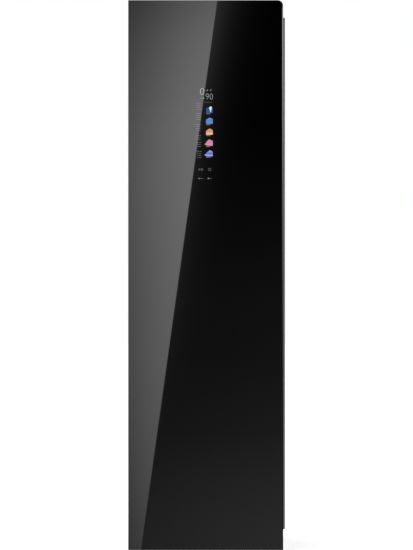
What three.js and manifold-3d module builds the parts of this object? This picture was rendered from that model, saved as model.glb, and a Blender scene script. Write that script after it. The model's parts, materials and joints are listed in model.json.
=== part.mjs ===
// A free-standing clothes care steam cabinet, in millimetres.
// X runs to the right, Y to the rear and Z up, from the middle of the footprint on the floor.
import * as THREE from "three";
import { mergeVertices } from "three/addons/utils/BufferGeometryUtils.js";
import Module from "manifold-3d";

const wasm = await Module();
wasm.setup();

// Overall sizes
const cabinetHeight = 1850;
const cabinetWidth = 519;
const cabinetDepth = 600;
const seatGap = 0.3; // between pieces that seat on each other
const runningGap = 0.5; // between pieces that turn or slide on each other
const overrun = 3; // how far a cut runs past the face that it cuts
const roundSides = 20;
const smallSides = 12;
const cornerSteps = 3;
const doorCornerSteps = 6;
const railSides = 12;

// Door
const doorThickness = 48;
const doorGap = 6; // between the door's rear face and the casing
const doorFloorGap = 8;
const doorCornerRadius = 15; // its top right corner only
const doorWall = 3;
const doorWeb = 2; // the sheet behind the glass
const glassThickness = 4;
const rimLeft = 1;
const rimRight = 3.7;
const rimTop = 1.7;
const rimBottom = 1.5;
const innerPanelWall = 2.5;
const fieldRise = 12; // raised field of the inner panel, which reaches into the chamber
const fieldSideRoom = 7;
const fieldEndRoom = 8;
const fieldTaper = 4;
const gasketWidth = 14;
const gasketRootWidth = 6;
const gasketRootHeight = 2;

// Door hinge
const pinInset = 14; // pin's axis from the door's left edge
const pinDepth = 22; // pin's axis in front of the door's rear face
const pinRadius = 4;
const pinLength = 20;
const bracketHalfWidth = 11;
const bracketThickness = 3;
const bracketReach = 60; // how far it runs back over the casing
const bushRadius = 7.5;
const bushFlangeRadius = 10;
const bushFlange = 1.7;
const bushLength = 18;
const notchRight = 17; // hinge notch in the door, to the right of the pin
const notchTopHeight = 28;
const hingeBlockHeight = 24;
const hingeBlockWall = 2;

// Grip rail, an extruded channel let into the door's right side
const gripProud = 6;
const gripBottom = 70.6; // above the door's lower edge
const gripTop = 59; // below the door's upper edge
const gripWall = 2.5;
const gripDepth = 18;
const gripWidth = 29.4;
const gripNoseFront = 5;
const gripNoseRear = 5.9;
const gripNoseThickness = 3.6;
const gripNoseBevel = 0.8;
const gripInsulationRoom = 3.3;

// Display behind the glass
const displayWidth = 85;
const displayHeight = 350;
const displayCentreX = -2.5;
const displayCentreDrop = 445; // below the door's upper edge
const displayFrontDepth = 8;
const displayBackDepth = 12;
const displayBackInset = 12;
const displayRearRoom = 3.5; // to the foam behind it

// Casing
const sheet = 1;
const frontFlange = 27;
const rearFlange = 19;
const rearCoverThickness = 1.2;
const rearCoverInset = 4;
const louvreWidth = 150;
const louvreHeight = 8;
const louvrePitch = 26;
const louvreRows = 9;
const louvreColumnOffset = 110;
const louvreBottom = 130;
const baseClearance = 20; // floor to the base pan
const panWall = 2;
const panHeight = 24;
const lidHeight = 28;
const lidWall = 2.5;
const lidDrop = 2; // below the door's upper edge
const lidRadius = 15;
const upperFasciaLip = 6;
const upperFasciaSheet = 2;
const upperFasciaTopFlange = 40;
const upperFasciaBottomFlange = 20;

// Levelling feet
const footInset = 52;
const footDiscRadius = 22;
const footDiscHeight = 8;
const footDiscBevel = 2;
const footNeckRadius = 10;
const footStemRadius = 5;
const footStemHeight = 40;
const footCollarWall = 4;
const footCollarHeight = 16;

// Chamber
const linerWall = 2.5;
const shakerSpace = 104; // over the chamber, for the hanger shaker
const linerRearRoom = 45; // for the insulation behind the chamber
const linerRadius = 25;
const ledgeWidth = 10;
const ledgeHeight = 8;
const ledgeRise = 83.5; // above the chamber's floor
const shelfFrontRoom = 81; // shelf's front edge behind the casing's front
const shelfRearRoom = 30;
const shelfSideRoom = 3;
const shelfThickness = 12;
const shelfWall = 3;
const shelfSlots = 9;
const shelfSlotShare = 0.55;
const shelfSlotEnd = 24;

// Floor grille over the blower's outlet
const grilleMargin = 12;
const grilleThickness = 6;
const grilleBars = 7;
const grilleBarShare = 0.45;

// Steam nozzle
const nozzleSideRoom = 79; // from the chamber's left wall
const nozzleRearRoom = 72; // from its rear wall
const nozzleStemRadius = 7;
const nozzleStemLength = 24;
const nozzleFlangeRadius = 17;
const nozzleFlange = 3;
const nozzleHeadRadius = 12;
const nozzleHeadHeight = 22;
const nozzleBore = 4;

// Chamber lamp
const lampWidth = 120;
const lampDepth = 32;
const lampHeight = 8;
const lampFrontRoom = 46;
const lampBevel = 3;

// Lint filter
const filterSideRoom = 8; // from the duct's outer face
const filterThickness = 26;
const filterDrop = 92; // below the chamber's floor
const filterFrontRoom = 26; // filter's front behind the casing's front
const filterFrame = 8;
const filterMesh = 1.2;
const filterWindows = 4;
const filterFlange = 6;
const filterFlangeHeight = 3;
const filterHandleShare = 0.4; // of the filter's width
const filterHandleHeight = 24;
const filterHandleBar = 6;
const filterSlotGap = 2;
const filterSlots = 3;
const filterSlotShare = 0.6;

// Hanger shaker
const deckSheet = 2;
const deckFrontRoom = 26; // behind the upper fascia's flange
const deckRearRoom = 55; // to the chamber's rear face
const deckUpstand = 12;
const deckEarX = 150;
const deckEarSheet = 3;
const deckEarRoom = 12; // deck's ear beyond the rods
const rodSpacing = 90;
const rodHeight = 27; // rods' axes above the deck
const rodRadius = 6;
const rodOverhang = 5;
const bearingLength = 24;
const bearingHalfHeight = 11;
const bearingX = 60;
const carriagePlate = 4;
const carriageHalfLength = 78;
const gearModule = 2;
const pinionTeeth = 14;
const rackTeeth = 9;
const rackAddendumShare = 0.8;
const pinionAddendumShare = 1;
const dedendumShare = 1.25;
const gearBacklash = 0.5;
const rackBack = 8;
const rackThickness = 8;
const pinionShaftRadius = 4;
const pressureAngle = (20 * Math.PI) / 180;
const motorRadius = 26;
const motorHeight = 40;
const motorPlate = 3;
const motorPlateHalfWidth = 40;
const motorLeg = 6;
const motorLegSetback = 8; // leg behind the pinion's axis line
const motorLegDepth = 34;
const motorPlateRoom = 4; // over the rack
const shakerStroke = 20; // each way

// Hanger rail and hangers
const railRadius = 8;
const railHalfLength = 150;
const railDrop = 73.5; // rail's axis under the chamber's roof
const railPostWidth = 12;
const railPostDepth = 10;
const postSlotRoom = 3;
const railCollarRadius = 10.5;
const railCollar = 2;
const railCapLength = 6;
const hangerPitch = 110;
const hangerThickness = 12;
const hangerWire = 2.5;
const hangerNeck = 38; // rail's axis to the top of the shoulders
const hangerEndRoom = 46; // from a hanger's end to the casing's front
const hangerShoulderEnd = 104;
const hangerBarBottom = 150;
const hangerBarInset = 24; // from the shoulder's end
const hangerMember = 13;
const hangerNeckHalf = 14;
const hookStart = 205; // degrees
const hookEnd = -70;
const hookSteps = 14;
const hookTubeSteps = 20;

// Control board
const boardWidth = 96;
const boardDepth = 90;
const boardThickness = 1.6;
const boardStandoff = 8;
const boardStandoffRadius = 3;
const boardInset = 8;
const boardRightRoom = 14;
const boardFrontRoom = 26;

// Tanks and their bay
const tankWidth = 150;
const tankDepthShare = 0.217; // of the cabinet's depth
const tankHeight = 250;
const tankWall = 2.5;
const tankRadius = 8;
const tankSideRoom = 1.5;
const tankRecess = 4; // behind the fascia's face
const tankBottom = 90;
const tankLidHeight = 6;
const tankLidSkirt = 4;
const tankMouthRadius = 18;
const tankMouthRim = 3;
const tankHeadroom = 3;
const tankPullWidth = 90;
const tankPullHeight = 26;
const tankPullDepth = 16;
const tankPullDrop = 18;
const bayWall = 2;
const bayDivider = 4;
const fasciaThickness = 3;

// Air duct and heat exchangers
const ductWidthShare = 0.37; // of the cabinet's width
const ductWall = 2;
const ductHeight = 118.4;
const ductFrontRoom = 6;
const finCount = 10;
const finThickness = 4;
const coilCore = 8;
const coilDepth = 56;
const coilRoom = 2;
const coilStubRadius = 4;
const coilStubProud = 8;
const coilStubSpread = 60;
const evaporatorRoom = 26; // behind the lint filter
const coilGap = 34; // between the two coils
const coilBlowerRoom = 44; // from the rear coil to the blower

// Blower
const blowerX = -44;
const blowerMouthRoom = 2.7; // from the blower's inlet to the duct's floor
const impellerRadius = 52;
const impellerLength = 50;
const impellerBlades = 20;
const bladeLength = 10;
const bladeThickness = 1.6;
const bladeLean = 0.32; // radians that a blade's tip leads its root
const impellerPlate = 2;
const impellerHubRadius = 12;
const impellerRoom = 8;
const scrollGrowth = 24;
const scrollWall = 2;
const scrollDepth = 70;
const scrollSteps = 16;
const tongueAngle = (70 * Math.PI) / 180;
const blowerInletRadius = 46;
const blowerShaftRadius = 4;
const blowerShaftRoom = 3; // about the shaft where it enters the housing
const blowerMotorRadius = 38;
const blowerMotorLength = 56;
const blowerMotorFlange = 46;
const blowerMotorPlate = 3;

// Compressor
const compressorRadius = 60;
const compressorHeight = 190;
const compressorDome = 22;
const compressorSideRoom = 32;
const compressorRearRoom = 66;
const compressorFootRadius = 9;
const compressorFootHeight = 12;
const compressorPlate = 3;
const compressorStubHeight = 10;
const accumulatorRadius = 18;
const accumulatorHeight = 120;
const accumulatorBottom = 50;
const pipeRadius = 5;
const pipeBend = 16; // from a bend's corner to where the pipe runs straight
const pipeSides = 8;
const pipeSteps = 16;

// Steam generator and pumps
const boilerWidth = 110;
const boilerDepth = 130;
const boilerHeight = 80;
const boilerRadius = 18;
const boilerSideRoom = 40;
const boilerRearRoom = 76;
const boilerFoot = 10;
const boilerRibs = 3;
const boilerRib = 4;
const hoseRadius = 8;
const hoseBore = 5;
const pumpBlock = 44;
const pumpMotorRadius = 17;
const pumpMotorLength = 46;
const pumpSideRoom = 34;
const pumpFrontRoom = 12; // behind the tank bay
const pumpPortRadius = 4;
const pumpPortLength = 14;
const pumpFoot = 4;

// Power inlet
const inletSideRoom = 69; // from the casing's left face
const inletZ = 72;
const inletWidth = 28;
const inletHeight = 20;
const inletWall = 2;
const inletFlange = 6;
const inletFlangeThickness = 3;
const inletDepth = 26;
const inletSocketDepth = 18;
const inletPinLength = 11;
const inletPinWidth = 4;
const inletPinThickness = 2;
const inletPinSpread = 7;

// Planes that several pieces share
const halfWidth = cabinetWidth / 2;
const rear = cabinetDepth / 2;
const front = -rear;
const glassRear = front + glassThickness;
const recessRear = glassRear + seatGap;
const webRear = recessRear + doorWeb;
const doorRear = front + doorThickness;
const bodyFront = doorRear + doorGap;
const tankDepth = cabinetDepth * tankDepthShare;
const tankFront = bodyFront + tankRecess;
const bayRear = tankFront + tankDepth + tankSideRoom + bayWall;
const doorBottom = doorFloorGap;
const innerPanelFront = doorRear - innerPanelWall;
const panelRear = rear - rearCoverThickness - seatGap;
const inletX = -halfWidth + inletSideRoom;
const panelTop = cabinetHeight - lidDrop - lidHeight;
const pinX = -halfWidth + pinInset;
const pinY = doorRear - pinDepth;
const panHalfWidth = halfWidth - sheet - seatGap;
const panFront = bodyFront + sheet + seatGap;
const panRear = panelRear - sheet - seatGap;
const panFloor = baseClearance + panWall;
const panRim = baseClearance + panHeight;
const bayTop = tankBottom + tankHeight + tankLidHeight + tankHeadroom;
const ductBottom = bayTop + bayWall + seatGap;
const ductTop = ductBottom + ductHeight;
const linerBottom = ductTop + seatGap;
const linerHalfWidth = halfWidth - frontFlange - seatGap;
const chamberHalfWidth = linerHalfWidth - linerWall;
const linerTop = panelTop - shakerSpace;
const linerRear = rear - linerRearRoom;
const chamberRear = linerRear - linerWall;
const nozzleX = -chamberHalfWidth + nozzleSideRoom;
const nozzleY = chamberRear - nozzleRearRoom;
const chamberFloor = linerBottom + linerWall;
const chamberRoof = linerTop - linerWall;
const ledgeTop = chamberFloor + ledgeRise;
const fasciaRear = bodyFront + fasciaThickness;
const fasciaTop = linerBottom - seatGap;
const deckBottom = linerTop + seatGap;
const deckFront = bodyFront + upperFasciaBottomFlange + deckFrontRoom;
const deckRear = linerRear - deckRearRoom;
const deckTop = deckBottom + deckSheet;
const rodZ = deckTop + rodHeight;
const carriageTop = rodZ + bearingHalfHeight + carriagePlate;
const carriageUnder = rodZ + bearingHalfHeight;
const carriageHalfDepth = rodSpacing / 2 + bearingHalfHeight;
const rackPitchLine = carriageHalfDepth + rackBack;
const pinionPitchRadius = (gearModule * pinionTeeth) / 2;
const pinionY = rackPitchLine + pinionPitchRadius;
const railZ = chamberRoof - railDrop;
const hangerHalfSpan = -bodyFront - hangerEndRoom;
const hangerBarHalf = hangerHalfSpan - hangerBarInset;
const postSlotHalf = railPostWidth / 2 + shakerStroke + postSlotRoom;
const filterFront = bodyFront + filterFrontRoom;
const filterRear = filterFront + filterThickness;
const ductFront = fasciaRear + ductFrontRoom;
const ductHalfWidth = (cabinetWidth * ductWidthShare) / 2;
const evaporatorY = filterRear + evaporatorRoom + coilDepth / 2;
const condenserY = evaporatorY + coilDepth + coilGap;
const ductRear = condenserY + coilDepth / 2 + coilBlowerRoom;
const blowerZ = ductBottom + ductWall + blowerInletRadius + blowerMouthRoom;
const filterWidth = 2 * (ductHalfWidth - filterSideRoom);
const scrollStart = impellerRadius + impellerRoom;
const scrollEnd = scrollStart + scrollGrowth;
const scrollFront = ductRear + seatGap;
const scrollRear = scrollFront + scrollDepth;
const outletLeft = blowerX + scrollStart * Math.cos(tongueAngle);
const outletRight = blowerX + scrollEnd;
const fieldHalfWidth = chamberHalfWidth - fieldSideRoom;
const fieldBottom = chamberFloor + fieldEndRoom;
const fieldTop = chamberRoof - fieldEndRoom;
const gasketInner = linerHalfWidth - linerWall / 2;
const gripLeft = halfWidth - gripDepth;
const gripFront = webRear + seatGap;
const gripRear = gripFront + gripWidth;
const upperFasciaTop = panelTop + upperFasciaLip;
const shelfBottom = ledgeTop + seatGap;
const shelfFront = bodyFront + shelfFrontRoom;
const shelfRear = chamberRear - shelfRearRoom;

// Materials
function finish(color, roughness, metalness) {
  return new THREE.MeshStandardMaterial({ color, roughness, metalness });
}
const mirrorGlass = () => finish(0x0b0b0d, 0.06, 0);
const anodisedGrey = () => finish(0x5f5f61, 0.42, 0.8);
const darkTrim = () => finish(0x2c2c2f, 0.4, 0.7);
const paintedSteel = () => finish(0x3a3b3e, 0.45, 0.3);
const galvanised = () => finish(0x9a9da0, 0.5, 0.8);
const chamberPlastic = () => finish(0xd9d9d6, 0.45, 0);
const darkPlastic = () => finish(0x2b2d30, 0.55, 0);
const greyPlastic = () => finish(0x8b8e91, 0.55, 0);
const clearPlastic = () => finish(0xb9cbd3, 0.2, 0);
const foam = () => finish(0xe7e0cf, 0.95, 0);
const rubber = () => finish(0x4a4b4d, 0.85, 0);
const nylon = () => finish(0xe9e7e0, 0.5, 0);
const turnedSteel = () => finish(0xb4b6b8, 0.25, 0.95);
const finAluminium = () => finish(0xc2c5c8, 0.35, 0.9);
const copper = () => finish(0xb06a44, 0.3, 0.95);
const circuitGreen = () => finish(0x1e5a3c, 0.6, 0);
const lampLens = () => finish(0xf3f1ea, 0.3, 0);

// Solids
const point = (u, v) => new THREE.Vector2(u, v);
const axisX = new THREE.Vector3(1, 0, 0);
const axisY = new THREE.Vector3(0, 1, 0);
const axisZ = new THREE.Vector3(0, 0, 1);
const mergeDistance = 1e-4;

function solid(geometry) {
  const bare = geometry.index ? geometry.toNonIndexed() : geometry;
  bare.deleteAttribute("normal");
  bare.deleteAttribute("uv");
  const merged = mergeVertices(bare, mergeDistance);
  const index = merged.index.array;
  const kept = [];
  for (let i = 0; i < index.length; i += 3) {
    const [a, b, c] = index.slice(i, i + 3);
    if (a !== b && b !== c && c !== a) {
      kept.push(a, b, c);
    }
  }
  const vertProperties = merged.getAttribute("position").array;
  const triVerts = new Uint32Array(kept);
  return new wasm.Manifold(new wasm.Mesh({ numProp: 3, vertProperties, triVerts }));
}

function block(x0, x1, y0, y1, z0, z1) {
  const geometry = new THREE.BoxGeometry(x1 - x0, y1 - y0, z1 - z0);
  geometry.translate((x0 + x1) / 2, (y0 + y1) / 2, (z0 + z1) / 2);
  return solid(geometry);
}

// An outline in the two directions across the axis, drawn out along the axis between two places.
function prism(points, axis, from, to, holes = []) {
  const shape = new THREE.Shape(points);
  shape.holes = holes.map((hole) => new THREE.Path(hole));
  const geometry = new THREE.ExtrudeGeometry(shape, { depth: to - from, bevelEnabled: false });
  const across = {
    x: [axisY, axisZ, axisX],
    y: [axisX, axisZ, axisY.clone().negate()],
    z: [axisX, axisY, axisZ],
  }[axis];
  const start = { x: [from, 0, 0], y: [0, to, 0], z: [0, 0, from] }[axis];
  geometry.applyMatrix4(new THREE.Matrix4().makeBasis(...across));
  geometry.translate(...start);
  return solid(geometry);
}

// A body of revolution about an axis through (u, v), from pairs of place along the axis and radius.
function turned(profile, axis, u, v, sides = roundSides) {
  const points = profile.map(([along, radius]) => point(radius, along));
  const geometry = new THREE.LatheGeometry(points, sides);
  const across = {
    x: [axisY, axisX, axisZ.clone().negate()],
    y: [axisX, axisY, axisZ],
    z: [axisX, axisZ, axisY.clone().negate()],
  }[axis];
  const centre = { x: [0, u, v], y: [u, 0, v], z: [u, v, 0] }[axis];
  geometry.applyMatrix4(new THREE.Matrix4().makeBasis(...across));
  geometry.translate(...centre);
  return solid(geometry);
}

function arc(u, v, radius, from, to, steps) {
  const points = [];
  for (let step = 0; step <= steps; step += 1) {
    const angle = from + ((to - from) * step) / steps;
    points.push(point(u + radius * Math.cos(angle), v + radius * Math.sin(angle)));
  }
  return points;
}

function circle(u, v, radius, sides = roundSides) {
  return arc(u, v, radius, 0, 2 * Math.PI, sides).slice(1);
}

// A rectangle with its own radius at each corner, from the lower left one round to the upper left one.
function outline(u0, u1, v0, v1, radii = [0, 0, 0, 0], steps = cornerSteps) {
  const corners = [
    [u0, v0, 1, 1],
    [u1, v0, -1, 1],
    [u1, v1, -1, -1],
    [u0, v1, 1, -1],
  ];
  return corners.flatMap(([u, v, inU, inV], index) => {
    const radius = radii[index];
    if (radius <= 0) {
      return [point(u, v)];
    }
    const start = Math.PI + (index * Math.PI) / 2;
    return arc(u + inU * radius, v + inV * radius, radius, start, start + Math.PI / 2, steps);
  });
}

function rod(axis, u, v, radius, from, to, sides = roundSides) {
  return prism(circle(u, v, radius, sides), axis, from, to);
}

function tube(points, radius, steps = pipeSteps, sides = pipeSides) {
  const path = new THREE.CatmullRomCurve3(points.map((place) => new THREE.Vector3(...place)));
  const section = new THREE.Shape(circle(0, 0, radius, sides));
  return solid(new THREE.ExtrudeGeometry(section, { extrudePath: path, steps, bevelEnabled: false }));
}

function joined(bodies) {
  return bodies.reduce((whole, body) => whole.add(body));
}

function cut(body, ...tools) {
  return tools.flat().reduce((rest, tool) => rest.subtract(tool), body);
}

function repeat(count, make) {
  return Array.from({ length: count }, (_, index) => make(index));
}

function piece(name, body, material) {
  const data = body.getMesh();
  const geometry = new THREE.BufferGeometry();
  geometry.setAttribute("position", new THREE.BufferAttribute(data.vertProperties, 3));
  geometry.setIndex(new THREE.BufferAttribute(data.triVerts, 1));
  geometry.computeVertexNormals();
  const mesh = new THREE.Mesh(geometry, material());
  mesh.name = name;
  return mesh;
}

function group(...members) {
  const made = new THREE.Group();
  made.add(...members.flat());
  return made;
}

// Casing
function sidePanel(name, side) {
  const outer = halfWidth;
  const inner = halfWidth - sheet;
  const points = [
    [outer, bodyFront],
    [outer, panelRear],
    [outer - rearFlange, panelRear],
    [outer - rearFlange, panelRear - sheet],
    [inner, panelRear - sheet],
    [inner, bodyFront + sheet],
    [outer - frontFlange, bodyFront + sheet],
    [outer - frontFlange, bodyFront],
  ].map(([x, y]) => point(side * x, y));
  return piece(name, prism(points, "z", baseClearance, panelTop), paintedSteel);
}

function footPlaces() {
  const x = panHalfWidth - footInset;
  return [
    [-x, panFront + footInset],
    [x, panFront + footInset],
    [-x, panRear - footInset],
    [x, panRear - footInset],
  ];
}

function basePan() {
  const tray = cut(
    block(-panHalfWidth, panHalfWidth, panFront, panRear, baseClearance, panRim),
    block(
      -panHalfWidth + panWall,
      panHalfWidth - panWall,
      panFront + panWall,
      panRear - panWall,
      panFloor,
      panRim + overrun,
    ),
  );
  const bore = footStemRadius + runningGap;
  const collars = footPlaces().map(([x, y]) =>
    rod("z", x, y, bore + footCollarWall, baseClearance, panFloor + footCollarHeight, smallSides),
  );
  const bores = footPlaces().map(([x, y]) =>
    rod("z", x, y, bore, baseClearance - overrun, panRim + overrun, smallSides),
  );
  return piece("base_pan", cut(joined([tray, ...collars]), bores), galvanised);
}

function levellingFoot(index, [x, y]) {
  const neckTop = baseClearance - seatGap;
  const profile = [
    [0, 0],
    [0, footDiscRadius - footDiscBevel],
    [footDiscBevel, footDiscRadius],
    [footDiscHeight - footDiscBevel, footDiscRadius],
    [footDiscHeight, footDiscRadius - footDiscBevel],
    [footDiscHeight, footNeckRadius],
    [neckTop, footNeckRadius],
    [neckTop, footStemRadius],
    [neckTop + footStemHeight, footStemRadius],
    [neckTop + footStemHeight, 0],
  ];
  const foot = piece(`levelling_foot_${index + 1}`, turned(profile, "z", 0, 0, smallSides), rubber);
  foot.position.set(x, y, 0);
  return foot;
}

function topCover() {
  const lidTop = cabinetHeight - lidDrop;
  const lidBottom = panelTop + seatGap;
  const shell = prism(
    outline(-halfWidth, halfWidth, lidBottom, lidTop, [0, 0, lidRadius, lidRadius]),
    "y",
    bodyFront,
    rear,
  );
  const innerRadius = lidRadius - lidWall;
  const inside = prism(
    outline(
      -halfWidth + lidWall,
      halfWidth - lidWall,
      lidBottom - overrun,
      lidTop - lidWall,
      [0, 0, innerRadius, innerRadius],
    ),
    "y",
    bodyFront + lidWall,
    rear - lidWall,
  );
  const fasciaRoom = block(
    -halfWidth + lidWall,
    halfWidth - lidWall,
    bodyFront - overrun,
    bodyFront + lidWall + overrun,
    lidBottom - overrun,
    upperFasciaTop + seatGap,
  );
  const bracketRoom = block(
    pinX - bracketHalfWidth - seatGap,
    pinX + bracketHalfWidth + runningGap,
    bodyFront - overrun,
    bodyFront + lidWall + overrun,
    upperFasciaTop,
    upperFasciaTop + seatGap + bracketThickness + runningGap,
  );
  return piece("top_cover", cut(shell, inside, fasciaRoom, bracketRoom), paintedSteel);
}

function rearCover() {
  const plateHalf = halfWidth - rearCoverInset;
  const inner = rear - rearCoverThickness;
  const plate = block(-plateHalf, plateHalf, inner, rear, baseClearance + rearCoverInset, panelTop);
  const louvres = repeat(louvreRows, (row) =>
    [-louvreColumnOffset, louvreColumnOffset].map((x) => {
      const z = louvreBottom + row * louvrePitch;
      return block(
        x - louvreWidth / 2,
        x + louvreWidth / 2,
        inner - overrun,
        rear + overrun,
        z,
        z + louvreHeight,
      );
    }),
  );
  const inletHole = block(
    inletX - inletWidth / 2 - inletWall - seatGap,
    inletX + inletWidth / 2 + inletWall + seatGap,
    inner - overrun,
    rear + overrun,
    inletZ - inletHeight / 2 - inletWall - seatGap,
    inletZ + inletHeight / 2 + inletWall + seatGap,
  );
  return piece("rear_cover", cut(plate, louvres.flat(), inletHole), galvanised);
}

function upperFascia() {
  const back = bodyFront + upperFasciaSheet;
  const web = block(-linerHalfWidth, linerHalfWidth, bodyFront, back, deckBottom, upperFasciaTop);
  const topFlange = block(
    -halfWidth + lidWall + seatGap,
    halfWidth - lidWall - seatGap,
    bodyFront,
    bodyFront + upperFasciaTopFlange,
    upperFasciaTop - upperFasciaSheet,
    upperFasciaTop,
  );
  const bottomFlange = block(
    -linerHalfWidth,
    linerHalfWidth,
    bodyFront,
    bodyFront + upperFasciaBottomFlange,
    deckBottom,
    deckBottom + upperFasciaSheet,
  );
  const overPanels = block(
    -halfWidth + lidWall + seatGap,
    halfWidth - lidWall - seatGap,
    bodyFront,
    back,
    panelTop + seatGap,
    upperFasciaTop,
  );
  const folds = [web, topFlange, bottomFlange, overPanels];
  return piece("upper_fascia", joined(folds), paintedSteel);
}

function powerInlet() {
  const mouth = [inletWidth / 2, inletHeight / 2];
  const shroud = [mouth[0] + inletWall, mouth[1] + inletWall];
  const flange = [shroud[0] + inletFlange, shroud[1] + inletFlange];
  const around = ([w, h], y0, y1) => block(inletX - w, inletX + w, y0, y1, inletZ - h, inletZ + h);
  const flangeRear = rear - rearCoverThickness - seatGap;
  const body = joined([
    around(shroud, rear - inletDepth, rear),
    around(flange, flangeRear - inletFlangeThickness, flangeRear),
  ]);
  const socketFloor = rear - inletSocketDepth;
  const socket = around(mouth, socketFloor, rear + overrun);
  const pins = [-inletPinSpread, 0, inletPinSpread].map((x, index) => {
    const z = inletZ + (index === 1 ? inletPinWidth : 0) - inletPinWidth / 2;
    return block(
      inletX + x - inletPinThickness / 2,
      inletX + x + inletPinThickness / 2,
      socketFloor - inletPinThickness,
      socketFloor + inletPinLength,
      z - inletPinWidth / 2,
      z + inletPinWidth / 2,
    );
  });
  return piece("power_inlet", joined([cut(body, socket), ...pins]), darkPlastic);
}

// Concealed hinges: each bracket carries a pin that turns in a bush in the door
function bracketArm(zLow, zHigh) {
  const armRear = bodyFront + bracketReach;
  const points = [
    ...arc(pinX, pinY, bracketHalfWidth, Math.PI, 2 * Math.PI, cornerSteps * 2),
    point(pinX + bracketHalfWidth, armRear),
    point(pinX - bracketHalfWidth, armRear),
  ];
  return prism(points, "z", zLow, zHigh);
}

const topArmLow = upperFasciaTop + seatGap;
const topNotchFloor = cabinetHeight - notchTopHeight;
const bottomArmHigh = baseClearance - seatGap;
const bottomBushLow = bottomArmHigh + seatGap;
const bottomNotchRoof = bottomBushLow + bushFlange + seatGap;

function topHingeBracket() {
  const armTop = topArmLow + bracketThickness;
  const pin = rod("z", pinX, pinY, pinRadius, topArmLow - pinLength, armTop, smallSides);
  const arm = bracketArm(topArmLow, armTop);
  return piece("top_hinge_bracket", joined([arm, pin]), turnedSteel);
}

function bottomHingeBracket() {
  const armLow = bottomArmHigh - bracketThickness;
  const pin = rod("z", pinX, pinY, pinRadius, armLow, bottomArmHigh + pinLength, smallSides);
  return piece("bottom_hinge_bracket", joined([bracketArm(armLow, bottomArmHigh), pin]), turnedSteel);
}

// A bush seen from its flange: direction is 1 when its sleeve runs up and -1 when it runs down.
function hingeBush(name, flangeFace, direction) {
  const flangeEnd = flangeFace + direction * bushFlange;
  const sleeveEnd = flangeEnd + direction * bushLength;
  const ordered = (a, b) => [Math.min(a, b), Math.max(a, b)];
  const turn = (radius, end) => rod("z", pinX, pinY, radius, ...ordered(flangeFace, end), smallSides);
  const flange = turn(bushFlangeRadius, flangeEnd);
  const sleeve = turn(bushRadius, sleeveEnd);
  const bore = rod(
    "z",
    pinX,
    pinY,
    pinRadius + seatGap,
    Math.min(flangeFace, sleeveEnd) - overrun,
    Math.max(flangeFace, sleeveEnd) + overrun,
    smallSides,
  );
  return piece(name, cut(joined([flange, sleeve]), bore), nylon);
}

// Chamber
function chamberLiner() {
  const outerRadii = [0, 0, linerRadius, linerRadius];
  const innerRadius = linerRadius - linerWall;
  const shell = prism(
    outline(-linerHalfWidth, linerHalfWidth, bodyFront, linerRear, outerRadii),
    "z",
    linerBottom,
    linerTop,
  );
  const inside = prism(
    outline(
      -chamberHalfWidth,
      chamberHalfWidth,
      bodyFront - overrun,
      chamberRear,
      [0, 0, innerRadius, innerRadius],
    ),
    "z",
    chamberFloor,
    chamberRoof,
  );
  const ledges = [-1, 1].map((side) => {
    const edges = [side * (linerHalfWidth - linerWall / 2), side * (chamberHalfWidth - ledgeWidth)];
    return block(
      Math.min(...edges),
      Math.max(...edges),
      shelfFront,
      shelfRear,
      ledgeTop - ledgeHeight,
      ledgeTop,
    );
  });
  const filterSlot = block(
    -filterWidth / 2 - filterSlotGap,
    filterWidth / 2 + filterSlotGap,
    filterFront - filterSlotGap,
    filterRear + filterSlotGap,
    linerBottom - overrun,
    chamberFloor + overrun,
  );
  const airSlot = block(
    outletLeft + scrollWall,
    outletRight - scrollWall,
    scrollFront + scrollWall,
    scrollRear - scrollWall,
    linerBottom - overrun,
    chamberFloor + overrun,
  );
  const nozzleHole = rod(
    "z",
    nozzleX,
    nozzleY,
    nozzleStemRadius + runningGap,
    linerBottom - overrun,
    chamberFloor + overrun,
    smallSides,
  );
  return piece(
    "chamber_liner",
    cut(
      joined([cut(shell, inside), ...ledges]),
      filterSlot,
      airSlot,
      nozzleHole,
      postSlots(chamberRoof - overrun, linerTop + overrun),
    ),
    chamberPlastic,
  );
}

// The slots that the hanger rail's posts travel in
function postSlots(zLow, zHigh) {
  return [-bearingX, bearingX].map((x) =>
    block(
      x - postSlotHalf,
      x + postSlotHalf,
      -railPostDepth / 2 - postSlotRoom,
      railPostDepth / 2 + postSlotRoom,
      zLow,
      zHigh,
    ),
  );
}

function insulation(name, side) {
  const edges = [side * panHalfWidth, side * (linerHalfWidth + seatGap)];
  const slab = block(
    Math.min(...edges),
    Math.max(...edges),
    panFront,
    linerRear - seatGap,
    linerBottom,
    linerTop,
  );
  return piece(name, slab, foam);
}

function rearInsulation() {
  const slab = block(
    -panHalfWidth,
    panHalfWidth,
    linerRear + seatGap,
    panRear,
    linerBottom,
    linerTop,
  );
  return piece("rear_insulation", slab, foam);
}

function floorGrille() {
  const bottom = chamberFloor + seatGap;
  const top = bottom + grilleThickness;
  const plate = block(
    outletLeft - grilleMargin,
    outletRight + grilleMargin,
    scrollFront - grilleMargin,
    scrollRear + grilleMargin,
    bottom,
    top,
  );
  const openLeft = outletLeft + scrollWall;
  const openRight = outletRight - scrollWall;
  const openFront = scrollFront + scrollWall;
  const pitch = (scrollRear - scrollWall - openFront) / grilleBars;
  const slots = repeat(grilleBars, (index) => {
    const y = openFront + (index + grilleBarShare / 2) * pitch;
    return block(openLeft, openRight, y, y + pitch * (1 - grilleBarShare), bottom - overrun, top + overrun);
  });
  return piece("floor_grille", cut(plate, slots), greyPlastic);
}

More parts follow.
